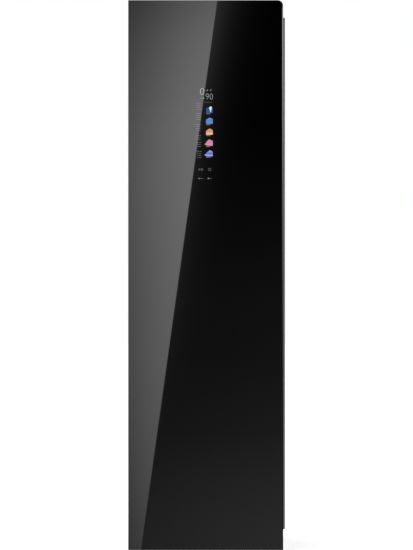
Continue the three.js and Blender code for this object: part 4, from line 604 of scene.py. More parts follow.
def paint(name, base, rough=(0.36, 0.48), coat=0.15, dust=0.3):
    """Stoved paint: a faint orange peel under a thin gloss."""
    made = Finish(name, Metallic=0.0, Coat_Weight=coat, Coat_Roughness=0.2)
    fine = made.effect("moulded", Grain=1600.0, Mottle=3.0)
    tone = made.varied(fine["Variation"], base, 0.92, 1.08)
    rubbed = made.mix(made.times(made.effect("edges")["Bright"], 0.25), tone, toned(base, 2.2))
    dusty = made.mix(made.effect("dust", Amount=dust)["Mask"], rubbed, (0.36, 0.355, 0.34))
    smears = made.times(made.effect("handling", Size=3.0)["Smears"], 0.06)
    roughness = made.add(made.spread(fine["Gloss"], *rough), smears)
    return made.finished(dusty, roughness, made.noise(made.place, 420.0, 2.0, 0.45), 0.3, 0.03 * MM)


def mirror_glass(name, base):
    """Black mirror glass with the faintest smears and specks."""
    made = Finish(name, IOR=1.5)
    marks = made.effect("handling", Size=4.0)
    tone = made.mix(marks["Specks"], base, toned(base, 1.6))
    roughness = made.add(made.spread(marks["Smears"], 0.008, 0.025), made.times(marks["Specks"], 0.1))
    made.feed(Base_Color=tone, Roughness=roughness)
    return made.material


def zinc(name, base):
    """Galvanised sheet: flakes, chalky patches and dust."""
    made = Finish(name, Metallic=0.85)
    coat = made.effect("spangle")
    tone = made.varied(coat["Tone"], base, 0.9, 1.1)
    chalky = made.mix(made.times(made.noise(made.place, 7.0, 5.0, 0.6), 0.25), tone, toned(base, 0.8))
    dusty = made.mix(made.effect("dust", Amount=0.3)["Mask"], chalky, (0.4, 0.39, 0.37))
    return made.finished(dusty, made.spread(coat["Tone"], 0.38, 0.48), coat["Height"], 0.2, 0.04 * MM)


def clear_plastic(name, base, tones, rough, grain, bump, **constants):
    """Frosted moulding that lets light through."""
    made = Finish(name, **constants)
    moulded = made.effect("moulded", **grain)
    tone = made.varied(moulded["Variation"], base, *tones)
    return made.finished(tone, made.spread(moulded["Gloss"], *rough), moulded["Height"], bump, 0.02 * MM)


def foam(name, base):
    made = Finish(name, Specular_IOR_Level=0.2)
    cells = made.effect("cells")
    tone = made.varied(cells["Tone"], base, 0.8, 1.1)
    return made.finished(tone, made.spread(cells["Tone"], 0.85, 1.0), cells["Height"], 0.6, 0.3 * MM)


def circuit_board(name, base):
    """Solder mask with the grid of its tracks."""
    made = Finish(name)
    greys = {"Color1": (0, 0, 0, 1), "Color2": (0.3, 0.3, 0.3, 1), "Mortar": WHITE}
    inputs = {"Vector": made.place, "Scale": 90.0, "Mortar Size": 0.03, **greys}
    tracks = made.node("ShaderNodeTexBrick", inputs).outputs["Color"]
    roughness = made.spread(made.noise(made.place, 300.0), 0.3, 0.5)
    return made.finished(made.mix(tracks, base, toned(base, 2.2)), roughness, tracks, 0.3, 0.05 * MM)


# Each slot's finish: what makes it, its material's name, its colour in CabinetFinishes, and its values
FINISHES = {
    "mirror_glass": (mirror_glass, "mirror glass", "glass", {}),
    "anodised_grey": (metal, "anodised grey", "anodised", dict(
        rough=(0.5, 0.62), stretch=(1.0, 1.0, 0.02), lines=2200.0, metallic=0.2, Specular_IOR_Level=0.2)),
    "dark_trim": (paint, "door trim", "trim", dict(rough=(0.1, 0.18), coat=0.0, dust=0.0)),
    "painted_steel": (paint, "casing paint", "casing", {}),
    "compressor_shell": (paint, "compressor paint", "compressor", dict(rough=(0.22, 0.35), coat=0.3)),
    "galvanised_steel": (zinc, "galvanised sheet", "galvanised", {}),
    "chamber_plastic": (plastic, "chamber moulding", "chamber", dict(
        rough=(0.36, 0.5), grain=700.0, dust=0.0)),
    "dark_plastic": (plastic, "dark moulding", "dark_plastic", dict(rough=(0.45, 0.6))),
    "grey_plastic": (plastic, "grey moulding", "grey_plastic", dict(rough=(0.4, 0.55))),
    "rubber": (plastic, "rubber", "rubber", dict(
        rough=(0.62, 0.8), grain=1200.0, dust=0.2, Specular_IOR_Level=0.35)),
    "nylon": (plastic, "nylon", "nylon", dict(
        rough=(0.4, 0.52), grain=600.0, Subsurface_Weight=0.1, Subsurface_Scale=0.002)),
    "clear_plastic": (clear_plastic, "smoked moulding", "smoke", dict(
        tones=(0.9, 1.1), rough=(0.12, 0.28), grain={"Grain": 500.0, "Mottle": 8.0}, bump=0.15,
        IOR=1.49, Transmission_Weight=0.75)),
    "lamp_lens": (clear_plastic, "lamp lens", "lens", dict(
        tones=(0.95, 1.03), rough=(0.3, 0.45), grain={"Grain": 800.0}, bump=0.2,
        Transmission_Weight=0.3, Subsurface_Weight=0.2, Subsurface_Scale=0.003)),
    "foam": (foam, "foam", "foam", {}),
    "turned_steel": (metal, "turned steel", "steel", dict(
        rough=(0.16, 0.28), stretch=(0.03, 1.0, 1.0), lines=1600.0)),
    "aluminium_fins": (metal, "mill aluminium", "fins", dict(
        rough=(0.3, 0.42), stretch=(1.0, 1.0, 0.05), lines=900.0)),
    "copper_pipe": (metal, "drawn copper", "copper", dict(
        rough=(0.2, 0.36), stretch=(0.3, 0.3, 0.3), lines=500.0)),
    "circuit_board": (circuit_board, "circuit board", "board", {}),
}
built_finishes = {}


def finish_of(slot):
    """A slot's material, made when it is first used."""
    if slot not in built_finishes:
        make, name, colour_name, values = FINISHES[slot]
        base = getattr(bpy.context.scene.cabinet_finishes, colour_name)
        built_finishes[slot] = make(name, base, **values)
    return built_finishes[slot]


class CABINET_OT_frame_finishes(bpy.types.Operator):
    """Gives every part of the frame its procedural finish"""

    bl_idname = "cabinet.frame_finishes"
    bl_label = "Frame finishes"

    def execute(self, context):
        for name, part in NODES.items():
            part.data.materials.clear()
            part.data.materials.append(finish_of(SLOT_OF[name]))
        return {"FINISHED"}


# The door

def widen_corner(piece, aside, down):
    """Carries an outline's arc at the rim's upper corner to the larger radius."""
    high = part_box("door_frame")[1]
    radius = CORNER_ARC - aside
    centre = Vector((high.x - CORNER_ARC, high.z - radius - down))
    grown = (radius + bpy.context.scene.cabinet_door.corner_radius - CORNER_ARC) / radius

    def on_arc(vertex):
        place = vertex.co.xz - centre
        return min(place) > -MERGE and abs(place.length - radius) < NEAR_ARC

    with picked(piece, "VERT", on_arc):
        square_corner = (high.x - aside, 0, high.z - down)
        bpy.ops.transform.resize(value=(grown, 1, grown), center_override=square_corner)


class CABINET_OT_glass(bpy.types.Operator):
    """Models the door's mirror glass with its ground edge"""

    bl_idname = "cabinet.glass"
    bl_label = "Door glass"

    def execute(self, context):
        sizes = context.scene.cabinet_door
        piece = copied("door_glass")
        widen_corner(piece, *GLASS_OUTLINE)
        with picked(piece, "FACE", facing(FRONT)):
            bpy.ops.transform.translate(value=(0, sizes.glass_setback, 0))
        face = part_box("door_glass")[0].y + sizes.glass_setback

        def on_face(edge):
            return all(abs(place.y - face) < MERGE for place in places_of(piece, edge))

        with picked(piece, "EDGE", on_face):
            bpy.ops.mesh.bevel(offset=sizes.glass_bevel, segments=2, affect="EDGES")
        smooth(piece, 30)
        dress(piece, "door_glass_panel", "mirror_glass", "door", "door_glass")
        return {"FINISHED"}


class CABINET_OT_door_frame(bpy.types.Operator):
    """Models the door's bevelled rim, its inner panel and its gasket"""

    bl_idname = "cabinet.door_frame"
    bl_label = "Door frame"

    # How much higher the inner side of the slope's arc starts than its outer side
    arc_lift = 2 * MM

    def execute(self, context):
        self.rim(context.scene.cabinet_door)
        panel = copied("door_inner_panel")
        widen_corner(panel, *PANEL_OUTLINE)
        soften(panel, 1.2 * MM, segments=3, angle=30)
        smooth(panel)
        dress(panel, "door_inner_panel_piece", SLOT_OF["door_inner_panel"], "door", "door_inner_panel")
        softened("door_gasket", 1.6 * MM, segments=3, angle=60, shading=60)
        return {"FINISHED"}

    def rim(self, sizes):
        piece = copied("door_frame")
        for outline in (RIM_OUTLINE, RIM_INSIDE, GLASS_RECESS):
            widen_corner(piece, *outline)
        low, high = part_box("door_frame")
        corner = high.xz - Vector((sizes.corner_radius, sizes.corner_radius))

        def on_outline(edge):
            one, other = places_of(piece, edge)
            middle = (one + other) / 2
            on_front = abs(one.y - low.y) < MERGE and abs(other.y - low.y) < MERGE
            reach = min(middle.x - low.x, high.x - middle.x, middle.z - low.z, high.z - middle.z)
            place = middle.xz - corner
            rounded_off = min(place) > 0 and place.length > sizes.corner_radius - sizes.rim_bevel
            return on_front and (reach < MERGE or rounded_off)

        with picked(piece, "EDGE", on_outline):
            bpy.ops.mesh.bevel(offset=sizes.rim_bevel, segments=1, affect="EDGES")
        self.slope(piece, sizes, low.y, corner)
        smooth(piece, 18)
        dress(piece, "door_rim", "dark_trim", "door", "door_frame")

    def slope(self, piece, sizes, front, corner):
        """Widens the bevel by the grip to a slope that narrows again round the upper corner"""
        arc = sizes.corner_radius - sizes.rim_bevel
        widening = sizes.rim_bevel - sizes.grip_side_bevel
        falling = sizes.grip_side_fall - sizes.rim_bevel
        rear = front + sizes.rim_bevel

        def on_side(vertex):
            place = vertex.co.xz - corner
            return abs(vertex.co.y - front) < MERGE and place.x > arc - MERGE and place.y < -MERGE

        def on_arc(vertex):
            place = vertex.co.xz - corner
            on_ring = abs(place.length - arc) < NEAR_ARC
            return abs(vertex.co.y - front) < MERGE and min(place) > -MERGE and on_ring

        with picked(piece, "VERT", on_side):
            bpy.ops.transform.translate(value=(widening, 0, 0))
        with picked(piece, "VERT", on_arc):
            narrowed = (1 + widening / arc, 1, 1 - self.arc_lift / arc)
            bpy.ops.transform.resize(value=narrowed, center_override=(corner.x, 0, corner.y + arc))
        for turn in range(0, 90, ARC_STEP):
            share = math.cos(math.radians(turn))
            x = corner.x + sizes.corner_radius * share
            with picked(piece, "VERT", lambda v: abs(v.co.y - rear) < MERGE and abs(v.co.x - x) < NEAR_ARC):
                bpy.ops.transform.translate(value=(0, share * falling, 0))


class CABINET_OT_grip(bpy.types.Operator):
    """Models the full-height grip with its rounded lower corner"""

    bl_idname = "cabinet.grip"
    bl_label = "Grip"

    edge_radius = 0.35 * MM
    foot_radius = 1.3 * MM
    # The edges at the grip's foot that lie this near its outer side are rounded to the larger radius
    foot_reach = 1.6 * MM

    def execute(self, context):
        piece = copied("grip_rail")
        low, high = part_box("grip_rail")

        def outer_foot(edge):
            ends = places_of(piece, edge)
            return all(end.x > high.x - self.foot_reach and end.z < low.z + MERGE for end in ends)

        with picked(piece, "EDGE", outer_foot):
            bpy.ops.mesh.bevel(offset=self.foot_radius, segments=4, affect="EDGES", clamp_overlap=True)
        soften(piece, self.edge_radius, angle=50)
        smooth(piece, 35)
        dress(piece, "grip_extrusion", "anodised_grey", "door", "grip_rail")
        return {"FINISHED"}


# The display, whose marks are all placed and sized in millimetres

def glass_front():
    return CAD_BOX[0].y + bpy.context.scene.cabinet_door.glass_setback


def on_glass(x, z):
    return (x * MM, glass_front(), z * MM)


def flat_mark(x, z, width, height):
    """A flat face in the glass, seen from the front, centred at x and z."""
    plane = bpy.ops.mesh.primitive_plane_add
    return added(plane, (width * MM, height * MM, 1), size=1, location=on_glass(x, z), rotation=UPRIGHT)


def trimmed(piece, x, z, cuts):
    """Cuts corners off a flat mark centred at x and z.

    Each cut has a place, from that centre, and a direction: what lies past the place that way goes."""
    for across, up, u, v in cuts:
        with all_picked(piece):
            place = on_glass(x + across, z + up)
            bpy.ops.mesh.bisect(plane_co=place, plane_no=(u, 0, v), clear_outer=True)
    return piece


def rounded(piece, radius):
    with all_picked(piece):
        bpy.ops.mesh.bevel(offset=radius * MM, segments=3, affect="VERTICES")
    return piece


def ring_mark(x, z, width, height, stroke, vertices=28):
    values = {"radius": 0.5, "fill_type": "NGON", "location": on_glass(x, z), "rotation": UPRIGHT}
    sides = (width * MM, height * MM, 1)
    piece = added(bpy.ops.mesh.primitive_circle_add, sides, vertices=vertices, **values)
    with all_picked(piece):
        bpy.ops.mesh.inset(thickness=stroke * MM)
        bpy.ops.mesh.delete(type="FACE")
    return piece


def figure_mark(text, x, z, size, thinner, narrower):
    """Figures centred at x and z, drawn thinner and narrower than the font."""
    bpy.ops.object.select_all(action="DESELECT")
    bpy.ops.object.text_add(location=(0, 0, 0))
    figures = bpy.context.active_object.data
    figures.body = text
    figures.size = size * MM
    figures.offset = -thinner * MM
    figures.align_x = "CENTER"
    figures.align_y = "CENTER"
    figures.space_character = 1.05
    bpy.ops.object.convert(target="MESH")
    piece = bpy.context.active_object
    piece.rotation_euler = UPRIGHT
    piece.location = on_glass(x, z)
    piece.scale = (narrower, 1, 1)
    settle(piece)
    return piece


def lit_finish(name, colours, low=0.0, high=1.0):
    """A mark lit from behind the glass, running through three colours from low to high up the mark."""
    strength = bpy.context.scene.cabinet_display.strength
    made = Finish(name, Base_Color=(0.001, 0.001, 0.001, 1), IOR=1.5, Emission_Strength=strength)
    height = made.axis(made.place, "Z")
    middle = (low + high) / 2
    lower = made.mix(made.share(height, low, middle), colours[0], colours[1])
    even = made.mix(made.share(height, middle, high), lower, colours[2])
    grain = made.noise(made.place, 900.0, 2.0)
    glow = made.mix(made.times(grain, 0.15), even, (0, 0, 0))
    made.feed(Emission_Color=glow, Roughness=made.spread(grain, 0.03, 0.06))
    return made.material


def lit(name, material, *marks):
    """Joins flat marks, gives them their thickness through the glass face and lights them."""
    piece = merged(marks)
    with all_picked(piece):
        bpy.ops.mesh.remove_doubles(threshold=MERGE)
    modifier(piece, "SOLIDIFY", thickness=bpy.context.scene.cabinet_door.mark_depth, offset=0)
    with all_picked(piece):
        bpy.ops.mesh.normals_make_consistent(inside=False)
    dress(piece, name, material, "door")


class CABINET_OT_display(bpy.types.Operator):
    """Models the lit figures, lines, garment marks and touch marks of the display"""

    bl_idname = "cabinet.display"
    bl_label = "Display"

    # Middles of the garment marks: their place across, and their heights from the top down
    column = 9.4
    rows = (1483.5, 1446.9, 1410.4, 1373.8, 1338.0)
    # The groups of thin lines beside them: each group's top line, how many lines it has, and their middle
    groups = (
        (1504.8, 4, -27.4), (1470.5, 4, -27.4), (1433.7, 4, -27.4),
        (1396.9, 3, -27.4), (1373.4, 3, -26.2), (1343.3, 4, -25.0),
    )
    line_pitch = 6.7
    # Each garment's colours from its foot to its head, and the cuts at its corners
    right_shoulder = (8.5, 6.0, 0.45, 0.89)
    garments = (
        (
            ((0.03, 0.12, 0.42), (0.014, 0.06, 0.28), (0.03, 0.13, 0.46)),
            ((-8.0, 5.5, -0.3, 0.95), (8.5, 5.5, 0.4, 0.92)),
        ),
        (
            ((0.12, 0.3, 0.7), (0.09, 0.24, 0.62), (0.13, 0.3, 0.68)),
            ((-8.5, 4.5, -0.5, 0.86), right_shoulder),
        ),
        (
            ((1.0, 0.72, 0.5), (0.72, 0.3, 0.14), (0.76, 0.34, 0.17)),
            ((-9.0, 3.5, -0.55, 0.83), right_shoulder),
        ),
        (
            ((0.84, 0.3, 0.44), (0.74, 0.24, 0.38), (0.62, 0.22, 0.34)),
            ((-9.5, 2.0, -0.75, 0.66), right_shoulder, (-9.0, -10.0, -0.8, -0.6)),
        ),
        (
            ((0.44, 0.46, 0.88), (0.13, 0.15, 0.6), (0.4, 0.44, 0.84)),
            ((-8.5, 2.0, -0.6, 0.8), right_shoulder),
        ),
    )
    collar_cuts = ((-4.3, 5.0, -0.94, -0.34), (4.3, 5.0, 0.97, -0.24), (-1.0, 10.6, -0.5, 0.86))
    # How far the collar stands before the garment that it crosses
    collar_rise = 0.04 * MM
    # The small marks beside two garments: name, colour, row, place across and width
    sleeve_marks = (
        ("cuff", (0.6, 0.48, 0.22), 3, -12.8, 5.2),
        ("sleeve", (0.42, 0.45, 0.85), 4, -13.0, 5.0),
    )

    def execute(self, context):
        look = context.scene.cabinet_display
        white = lit_finish("lit figures", [look.white] * 3)
        grey = lit_finish("lit lines", [look.grey] * 3)
        touch = lit_finish("touch marks", [look.touch] * 3)
        self.figures(white, grey)
        self.scale(grey)
        self.clothes()
        self.touch_marks(touch)
        return {"FINISHED"}

    def figures(self, white, grey):
        zero = ring_mark(-15.0, 1544.0, 13.2, 21.4, 1.2)
        spot = rounded(flat_mark(-10.2, 1521.7, 3.4, 2.2), 0.8)
        clock = figure_mark("90", 8.8, 1525.9, size=30, thinner=0.95, narrower=0.86)
        lit("display_figures", white, zero, spot, clock)
        bar = flat_mark(-15.4, 1521.7, 9.5, 1.0)
        flag = trimmed(flat_mark(1.6, 1548.6, 5.5, 5.0), 1.6, 1548.6, [(0, 0.8, -0.7, 0.7)])
        dot = ring_mark(13.8, 1548.6, 5.0, 5.0, 1.2, 16)
        line = flat_mark(3.9, 1507.7, 26.0, 0.48)
        lit("display_small_marks", grey, bar, flag, dot, line)

    def scale(self, grey):
        marks = []
        for top, count, x in self.groups:
            for index in range(count):
                wide = 17.0 if index == 0 else 14.2
                marks.append(flat_mark(x, top - index * self.line_pitch, wide, 0.78))
        for z in self.rows:
            marks.append(flat_mark(self.column - 4.0, z - 14.0, 13.5, 1.8))
        lit("display_lines", grey, *marks)

    def clothes(self):
        for index, (z, (colours, cuts)) in enumerate(zip(self.rows, self.garments), 1):
            material = lit_finish(f"garment light {index}", colours, (z - 11) * MM, (z + 9) * MM)
            shape = trimmed(flat_mark(self.column, z - 0.6, 22.4, 20.6), self.column, z, cuts)
            lit(f"display_garment_{index}", material, rounded(shape, 1.5))
        x, z = self.column + 3.4, self.rows[0] - 1.0
        collar = trimmed(flat_mark(x, z, 8.6, 22.0), x, z, self.collar_cuts)
        with all_picked(collar):
            bpy.ops.transform.translate(value=(0, -self.collar_rise, 0))
        lit("display_collar", lit_finish("collar light", [(0.8, 0.83, 0.95)] * 3), collar)
        for name, colour_of_mark, row, x, wide in self.sleeve_marks:
            mark = rounded(flat_mark(self.column + x, self.rows[row] - 6.5, wide, 4.6), 1.4)
            lit(f"display_{name}", lit_finish(f"{name} light", [colour_of_mark] * 3), mark)

    def touch_marks(self, touch):
        upper, lower = 1282.7, 1252.8
        ring = ring_mark(9.9, upper, 10.5, 10.5, 0.9, 6)
        left = ring_mark(-24.0, upper, 7.0, 8.0, 0.9, 3)
        right = ring_mark(-16.0, upper, 6.5, 8.0, 0.9, 12)
        minus = flat_mark(-18.4, lower, 12.0, 1.1)
        knob = rounded(flat_mark(-25.4, lower, 4.0, 4.0), 1.4)
        slopes = [(0, 2.0, 0.55, 0.83), (0, -2.0, 0.55, -0.83)]
        arrow = trimmed(flat_mark(7.0, lower, 6.0, 6.0), 7.0, lower, slopes)
        shaft = flat_mark(12.5, lower, 6.0, 1.0)
        lit("display_touch_marks", touch, ring, left, right, minus, knob, arrow, shaft)


# The casing

def screw_heads(sizes, places, direction):
    """Pan heads with a cross recess: one is modelled, and its copies are set on a face at these places."""
    radius, rise = sizes.screw_radius, sizes.screw_rise
    long, short = 0.6 * radius, 0.14 * radius
    slot_floor = 0.35 * rise
    first = added(bpy.ops.mesh.primitive_cylinder_add, vertices=24, radius=radius, depth=2 * rise)
    with picked(first, "EDGE", lambda edge: all(end.z > rise - MERGE for end in places_of(first, edge))):
        bpy.ops.mesh.bevel(offset=0.6 * rise, segments=2, affect="EDGES")
    for x, y in ((long, short), (short, long)):
        slot = block((-x, -y, slot_floor), (x, y, 2 * rise))
        modifier(first, "BOOLEAN", object=slot, operation="DIFFERENCE", solver="EXACT")
        bpy.data.objects.remove(slot)
    smooth(first)
    heads = []
    for place in places:
        head = duplicate(first)
        head.rotation_euler = Vector(direction).to_track_quat("Z", "Y").to_euler()
        head.location = place
        settle(head)
        heads.append(head)
    bpy.data.objects.remove(first)
    return merged(heads)


class CABINET_OT_casing(bpy.types.Operator):
    """Rounds the folded sheet edges of the casing and fits its screws"""

    bl_idname = "cabinet.casing"
    bl_label = "Casing"

    def execute(self, context):
        for node in ("left_side_panel", "right_side_panel"):
            softened(node, 0.3 * MM)
        softened("top_cover", 0.9 * MM, segments=3)
        for node in ("upper_fascia", "base_pan", "power_inlet", "top_hinge_bracket", "bottom_hinge_bracket"):
            softened(node, 0.4 * MM)
        self.rear_cover(context.scene.cabinet_sheet)
        self.screws(context.scene.cabinet_sheet)
        return {"FINISHED"}

    def rear_cover(self, sizes):
        """Sinks the sheet's face by the rise of its screws and presses a blade inwards in each louvre"""
        piece = copied("rear_cover")
        with picked(piece, "FACE", facing(BACK)):
            bpy.ops.transform.translate(value=(0, -sizes.screw_rise, 0))
        above_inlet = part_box("power_inlet")[1].z
        with picked(piece, "FACE", lambda face: face.normal.z < -ALONG and face.center.z > above_inlet):
            blade = (0, -sizes.louvre_reach, -sizes.louvre_drop)
            bpy.ops.mesh.extrude_region_move(TRANSFORM_OT_translate={"value": blade})
        smooth(piece, 30)
        dress(piece, "rear_cover_piece", SLOT_OF["rear_cover"], "root", "rear_cover")

    def screws(self, sizes):
        """Sets screws down both sides of the rear cover, and two along the top hinge bracket's arm"""
        low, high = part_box("rear_cover")
        run = high.z - low.z - 2 * sizes.screw_inset
        gaps = math.ceil(run / sizes.screw_pitch)
        face = high.y - sizes.screw_rise
        places = []
        for index in range(gaps + 1):
            z = low.z + sizes.screw_inset + run * index / gaps
            places += [(low.x + sizes.screw_inset, face, z), (high.x - sizes.screw_inset, face, z)]
        dress(screw_heads(sizes, places, BACK), "rear_screws", "turned_steel", "root")
        low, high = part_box("top_hinge_bracket")
        arm = high.x - low.x
        places = [((low.x + high.x) / 2, high.y - reach * arm, high.z) for reach in (0.5, 1.5)]
        dress(screw_heads(sizes, places, UP), "bracket_screws", "turned_steel", "root")


class CABINET_OT_feet(bpy.types.Operator):
    """Turns the four levelling feet"""

    bl_idname = "cabinet.feet"
    bl_label = "Levelling feet"

    def execute(self, context):
        for index in range(1, 5):
            softened(f"levelling_foot_{index}", 0.5 * MM, angle=40, shading=45)
        return {"FINISHED"}


# The chamber and what hangs in it

class CABINET_OT_chamber(bpy.types.Operator):
    """Rounds the chamber's mouldings, its shelf, grille, lamp and nozzle"""

    bl_idname = "cabinet.chamber"
    bl_label = "Chamber"

    def execute(self, context):
        softened("chamber_liner", 0.8 * MM)
        softened("floor_grille", 0.6 * MM)
        softened("steam_nozzle", 0.6 * MM, angle=40, shading=45)
        softened("chamber_lamp", 0.8 * MM, segments=3, angle=30)
        softened("garment_shelf", 0.8 * MM)
        softened("tank_bay", 0.8 * MM)
        return {"FINISHED"}


class CABINET_OT_filter(bpy.types.Operator):
    """Opens the windows of the lint filter's cage and strings a woven screen across each"""

    bl_idname = "cabinet.filter"
    bl_label = "Lint filter"

    def execute(self, context):
        piece = copied("lint_filter")
        low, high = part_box("lint_filter")
        middle = (low.y + high.y) / 2

        def pane(face):
            return abs(face.normal.y) > ALONG and abs(face.center.y - middle) < MM

        windows = []
        for face in piece.data.polygons:
            if pane(face) and face.normal.y < 0:
                across, _, up = zip(*places_of(piece, face))
                windows.append((min(across), max(across), min(up), max(up)))
        windows.sort()
        for left, right, _, _ in windows:
            with picked(piece, "FACE", lambda face: pane(face) and left < face.center.x < right):
                bpy.ops.mesh.bridge_edge_loops()
        soften(piece, 0.5 * MM)
        smooth(piece)
        dress(piece, "lint_filter_piece", SLOT_OF["lint_filter"], "filter", "lint_filter")
        screens = [self.screen(context.scene.cabinet_filter, middle, *windows[0])]
        for left, _, _, _ in windows[1:]:
            copy = duplicate(screens[0])
            copy.location = (left - windows[0][0], 0, 0)
            settle(copy)
            screens.append(copy)
        dress(merged(screens), "lint_filter_screen", "nylon", "filter")
        return {"FINISHED"}

    def screen(self, sizes, middle, left, right, bottom, top):
        """Threads across a window before upright ones, pressed half into each other"""
        thread = sizes.thread
        half = thread / 2
        weft = block((left, middle - thread, bottom + half), (right, middle, bottom + 3 * half))
        warp = block((left + half, middle - half, bottom), (left + 3 * half, middle + half, top))
        for threads, run, way in ((weft, top - bottom, (0, 0, 1)), (warp, right - left, (1, 0, 0))):
            values = {"use_relative_offset": False, "use_constant_offset": True}
            values["count"] = math.floor((run - 2 * thread) / sizes.pitch) + 1
            values["constant_offset_displace"] = Vector(way) * sizes.pitch
            modifier(threads, "ARRAY", **values)
        return merged([weft, warp])


class CABINET_OT_hangers(bpy.types.Operator):
    """Rounds the hanger rail and the three hangers"""

    bl_idname = "cabinet.hangers"
    bl_label = "Hangers"

    def execute(self, context):
        softened("hanger_rail", 0.4 * MM, angle=50, shading=50)
        for index in range(1, 4):
            softened(f"hanger_{index}", 2.5 * MM, segments=3, angle=60, shading=60)
        return {"FINISHED"}


class CABINET_OT_tanks(bpy.types.Operator):
    """Rounds the two water tanks and their lids"""

    bl_idname = "cabinet.tanks"
    bl_label = "Water tanks"

    def execute(self, context):
        for node in ("supply_tank", "supply_tank_lid", "drain_tank", "drain_tank_lid"):
            softened(node, 0.8 * MM, angle=40, shading=45)
        return {"FINISHED"}


# The stage

# The cards' foot and head, and how far each reaches from left to right
CARD_FOOT = -0.2
CARD_HEAD = 2.02
ROOM_CARD = (-1.5, 1.0)
SIDE_CARD = (1.05, 2.2)
# The bright wall's edge as the glass shows it, at the door's foot and at its head, and half its softness
WALL_FOOT = Vector((-0.2203, 0.0075))
WALL_HEAD = Vector((0.0362, 1.8517))
WALL_EDGE = 0.0012
# Heights between which the cards change, and shares of that height with the light that is there
ROOM_SPAN = (0.0, 1.85)
SIDE_SPAN = (-0.13, 1.99)
WALL_LIGHT = (
    (0, 0.25), (0.06, 0.32), (0.13, 0.41), (0.35, 0.64),
    (0.57, 0.81), (0.765, 0.93), (0.93, 0.79), (1, 0.63),
)
ROOM_LIGHT = (
    (0, 0.36), (0.06, 0.33), (0.13, 0.27), (0.22, 0.17), (0.35, 0.105),
    (0.46, 0.085), (0.57, 0.053), (0.67, 0.03), (0.78, 0.006), (1, 0.002),
)
ROOM_GLOW = ((0.22, 0.0), (0.46, 0.15), (0.67, 0.22), (0.86, 0.38), (1, 0.57))
SIDE_LIGHT = (
    (0, 0.01), (0.1, 0.012), (0.18, 0.018), (0.3, 0.04),
    (0.46, 0.11), (0.73, 0.5), (0.89, 0.85), (1, 0.95),
)
# The same shares, with how far the wall's light reaches from its edge
WALL_REACH = ((0, 0.1), (0.22, 0.174), (0.46, 0.235), (0.67, 0.315), (0.86, 0.31), (1, 0.28))
# Strength of a full value on each card
WALL_STRENGTH = 4.0
SIDE_STRENGTH = 8.0
# How steeply the wall dims with distance from its edge
WALL_DIMMING = 1.5
# How the room pales, and its glow fades, for each metre from that edge
ROOM_PALING = 1.13
GLOW_FADING = -21.3


def room_finish(stage):
    """A bright wall on the left and a dark room on the right, as the door's glass shows them."""
    material = bpy.data.materials.new("mirrored room")
    tree = emptied(material)
    # Each place on the card is carried to where the camera sees it in the glass
    centre = (stage.camera_side, 0.0, stage.camera_height)
    shrink = 1 / (1 + stage.card_distance / stage.camera_distance)
    place = tree.node("ShaderNodeTexCoord").outputs["Object"]
    from_centre = tree.vector("SUBTRACT", place, centre)
    in_glass = tree.vector("ADD", tree.vector("MULTIPLY", from_centre, (shrink, shrink, shrink)), centre)
    axes = tree.node("ShaderNodeSeparateXYZ", {0: in_glass}).outputs
    slope = (WALL_HEAD.x - WALL_FOOT.x) / (WALL_HEAD.y - WALL_FOOT.y)
    edge = tree.add(tree.times(tree.maths("SUBTRACT", axes["Z"], WALL_FOOT.y), slope), WALL_FOOT.x)
    beyond = tree.maths("SUBTRACT", axes["X"], edge)
    height = tree.share(axes["Z"], *ROOM_SPAN)
    into_wall = tree.maths("MAXIMUM", tree.times(beyond, -1.0), 0.0)
    into_room = tree.maths("MAXIMUM", beyond, 0.0)
    depth = tree.maths("DIVIDE", into_wall, tree.ramp(height, WALL_REACH))
    dimming = tree.maths("EXPONENT", tree.times(tree.maths("POWER", depth, WALL_DIMMING), -1.0))
    bright = tree.times(tree.times(tree.ramp(height, WALL_LIGHT), WALL_STRENGTH), dimming)
    paling = tree.add(tree.times(into_room, ROOM_PALING), 1.0)
    fading = tree.maths("EXPONENT", tree.times(into_room, GLOW_FADING))
    halo = tree.times(tree.ramp(height, ROOM_GLOW), fading)
    dim = tree.add(tree.times(tree.ramp(height, ROOM_LIGHT), paling), halo)
    side = tree.share(beyond, -WALL_EDGE, WALL_EDGE, interpolation_type="SMOOTHSTEP")
    tree.node("ShaderNodeOutputMaterial", {"Surface": tree.glow(tree.either(side, bright, dim))})
    return material


def side_finish():
    """Bright above and dark below, for the rim's bevel beside the grip."""
    material = bpy.data.materials.new("side card")
    tree = emptied(material)
    place = tree.node("ShaderNodeTexCoord").outputs["Object"]
    light = tree.ramp(tree.share(tree.axis(place, "Z"), *SIDE_SPAN), SIDE_LIGHT)
    tree.node("ShaderNodeOutputMaterial", {"Surface": tree.glow(tree.times(light, SIDE_STRENGTH))})
    return material


def card(name, left, right, distance, material):
    """A flat card before the door that only mirror-like surfaces show."""
    centre = ((left + right) / 2, CAD_BOX[0].y - distance, (CARD_FOOT + CARD_HEAD) / 2)
    sides = (right - left, CARD_HEAD - CARD_FOOT, 1)
    piece = added(bpy.ops.mesh.primitive_plane_add, sides, size=1, location=centre, rotation=UPRIGHT)
    piece.name = name
    piece.data.materials.append(material)
    for way in ("camera", "diffuse", "transmission", "volume_scatter", "shadow"):
        setattr(piece, "visible_" + way, False)


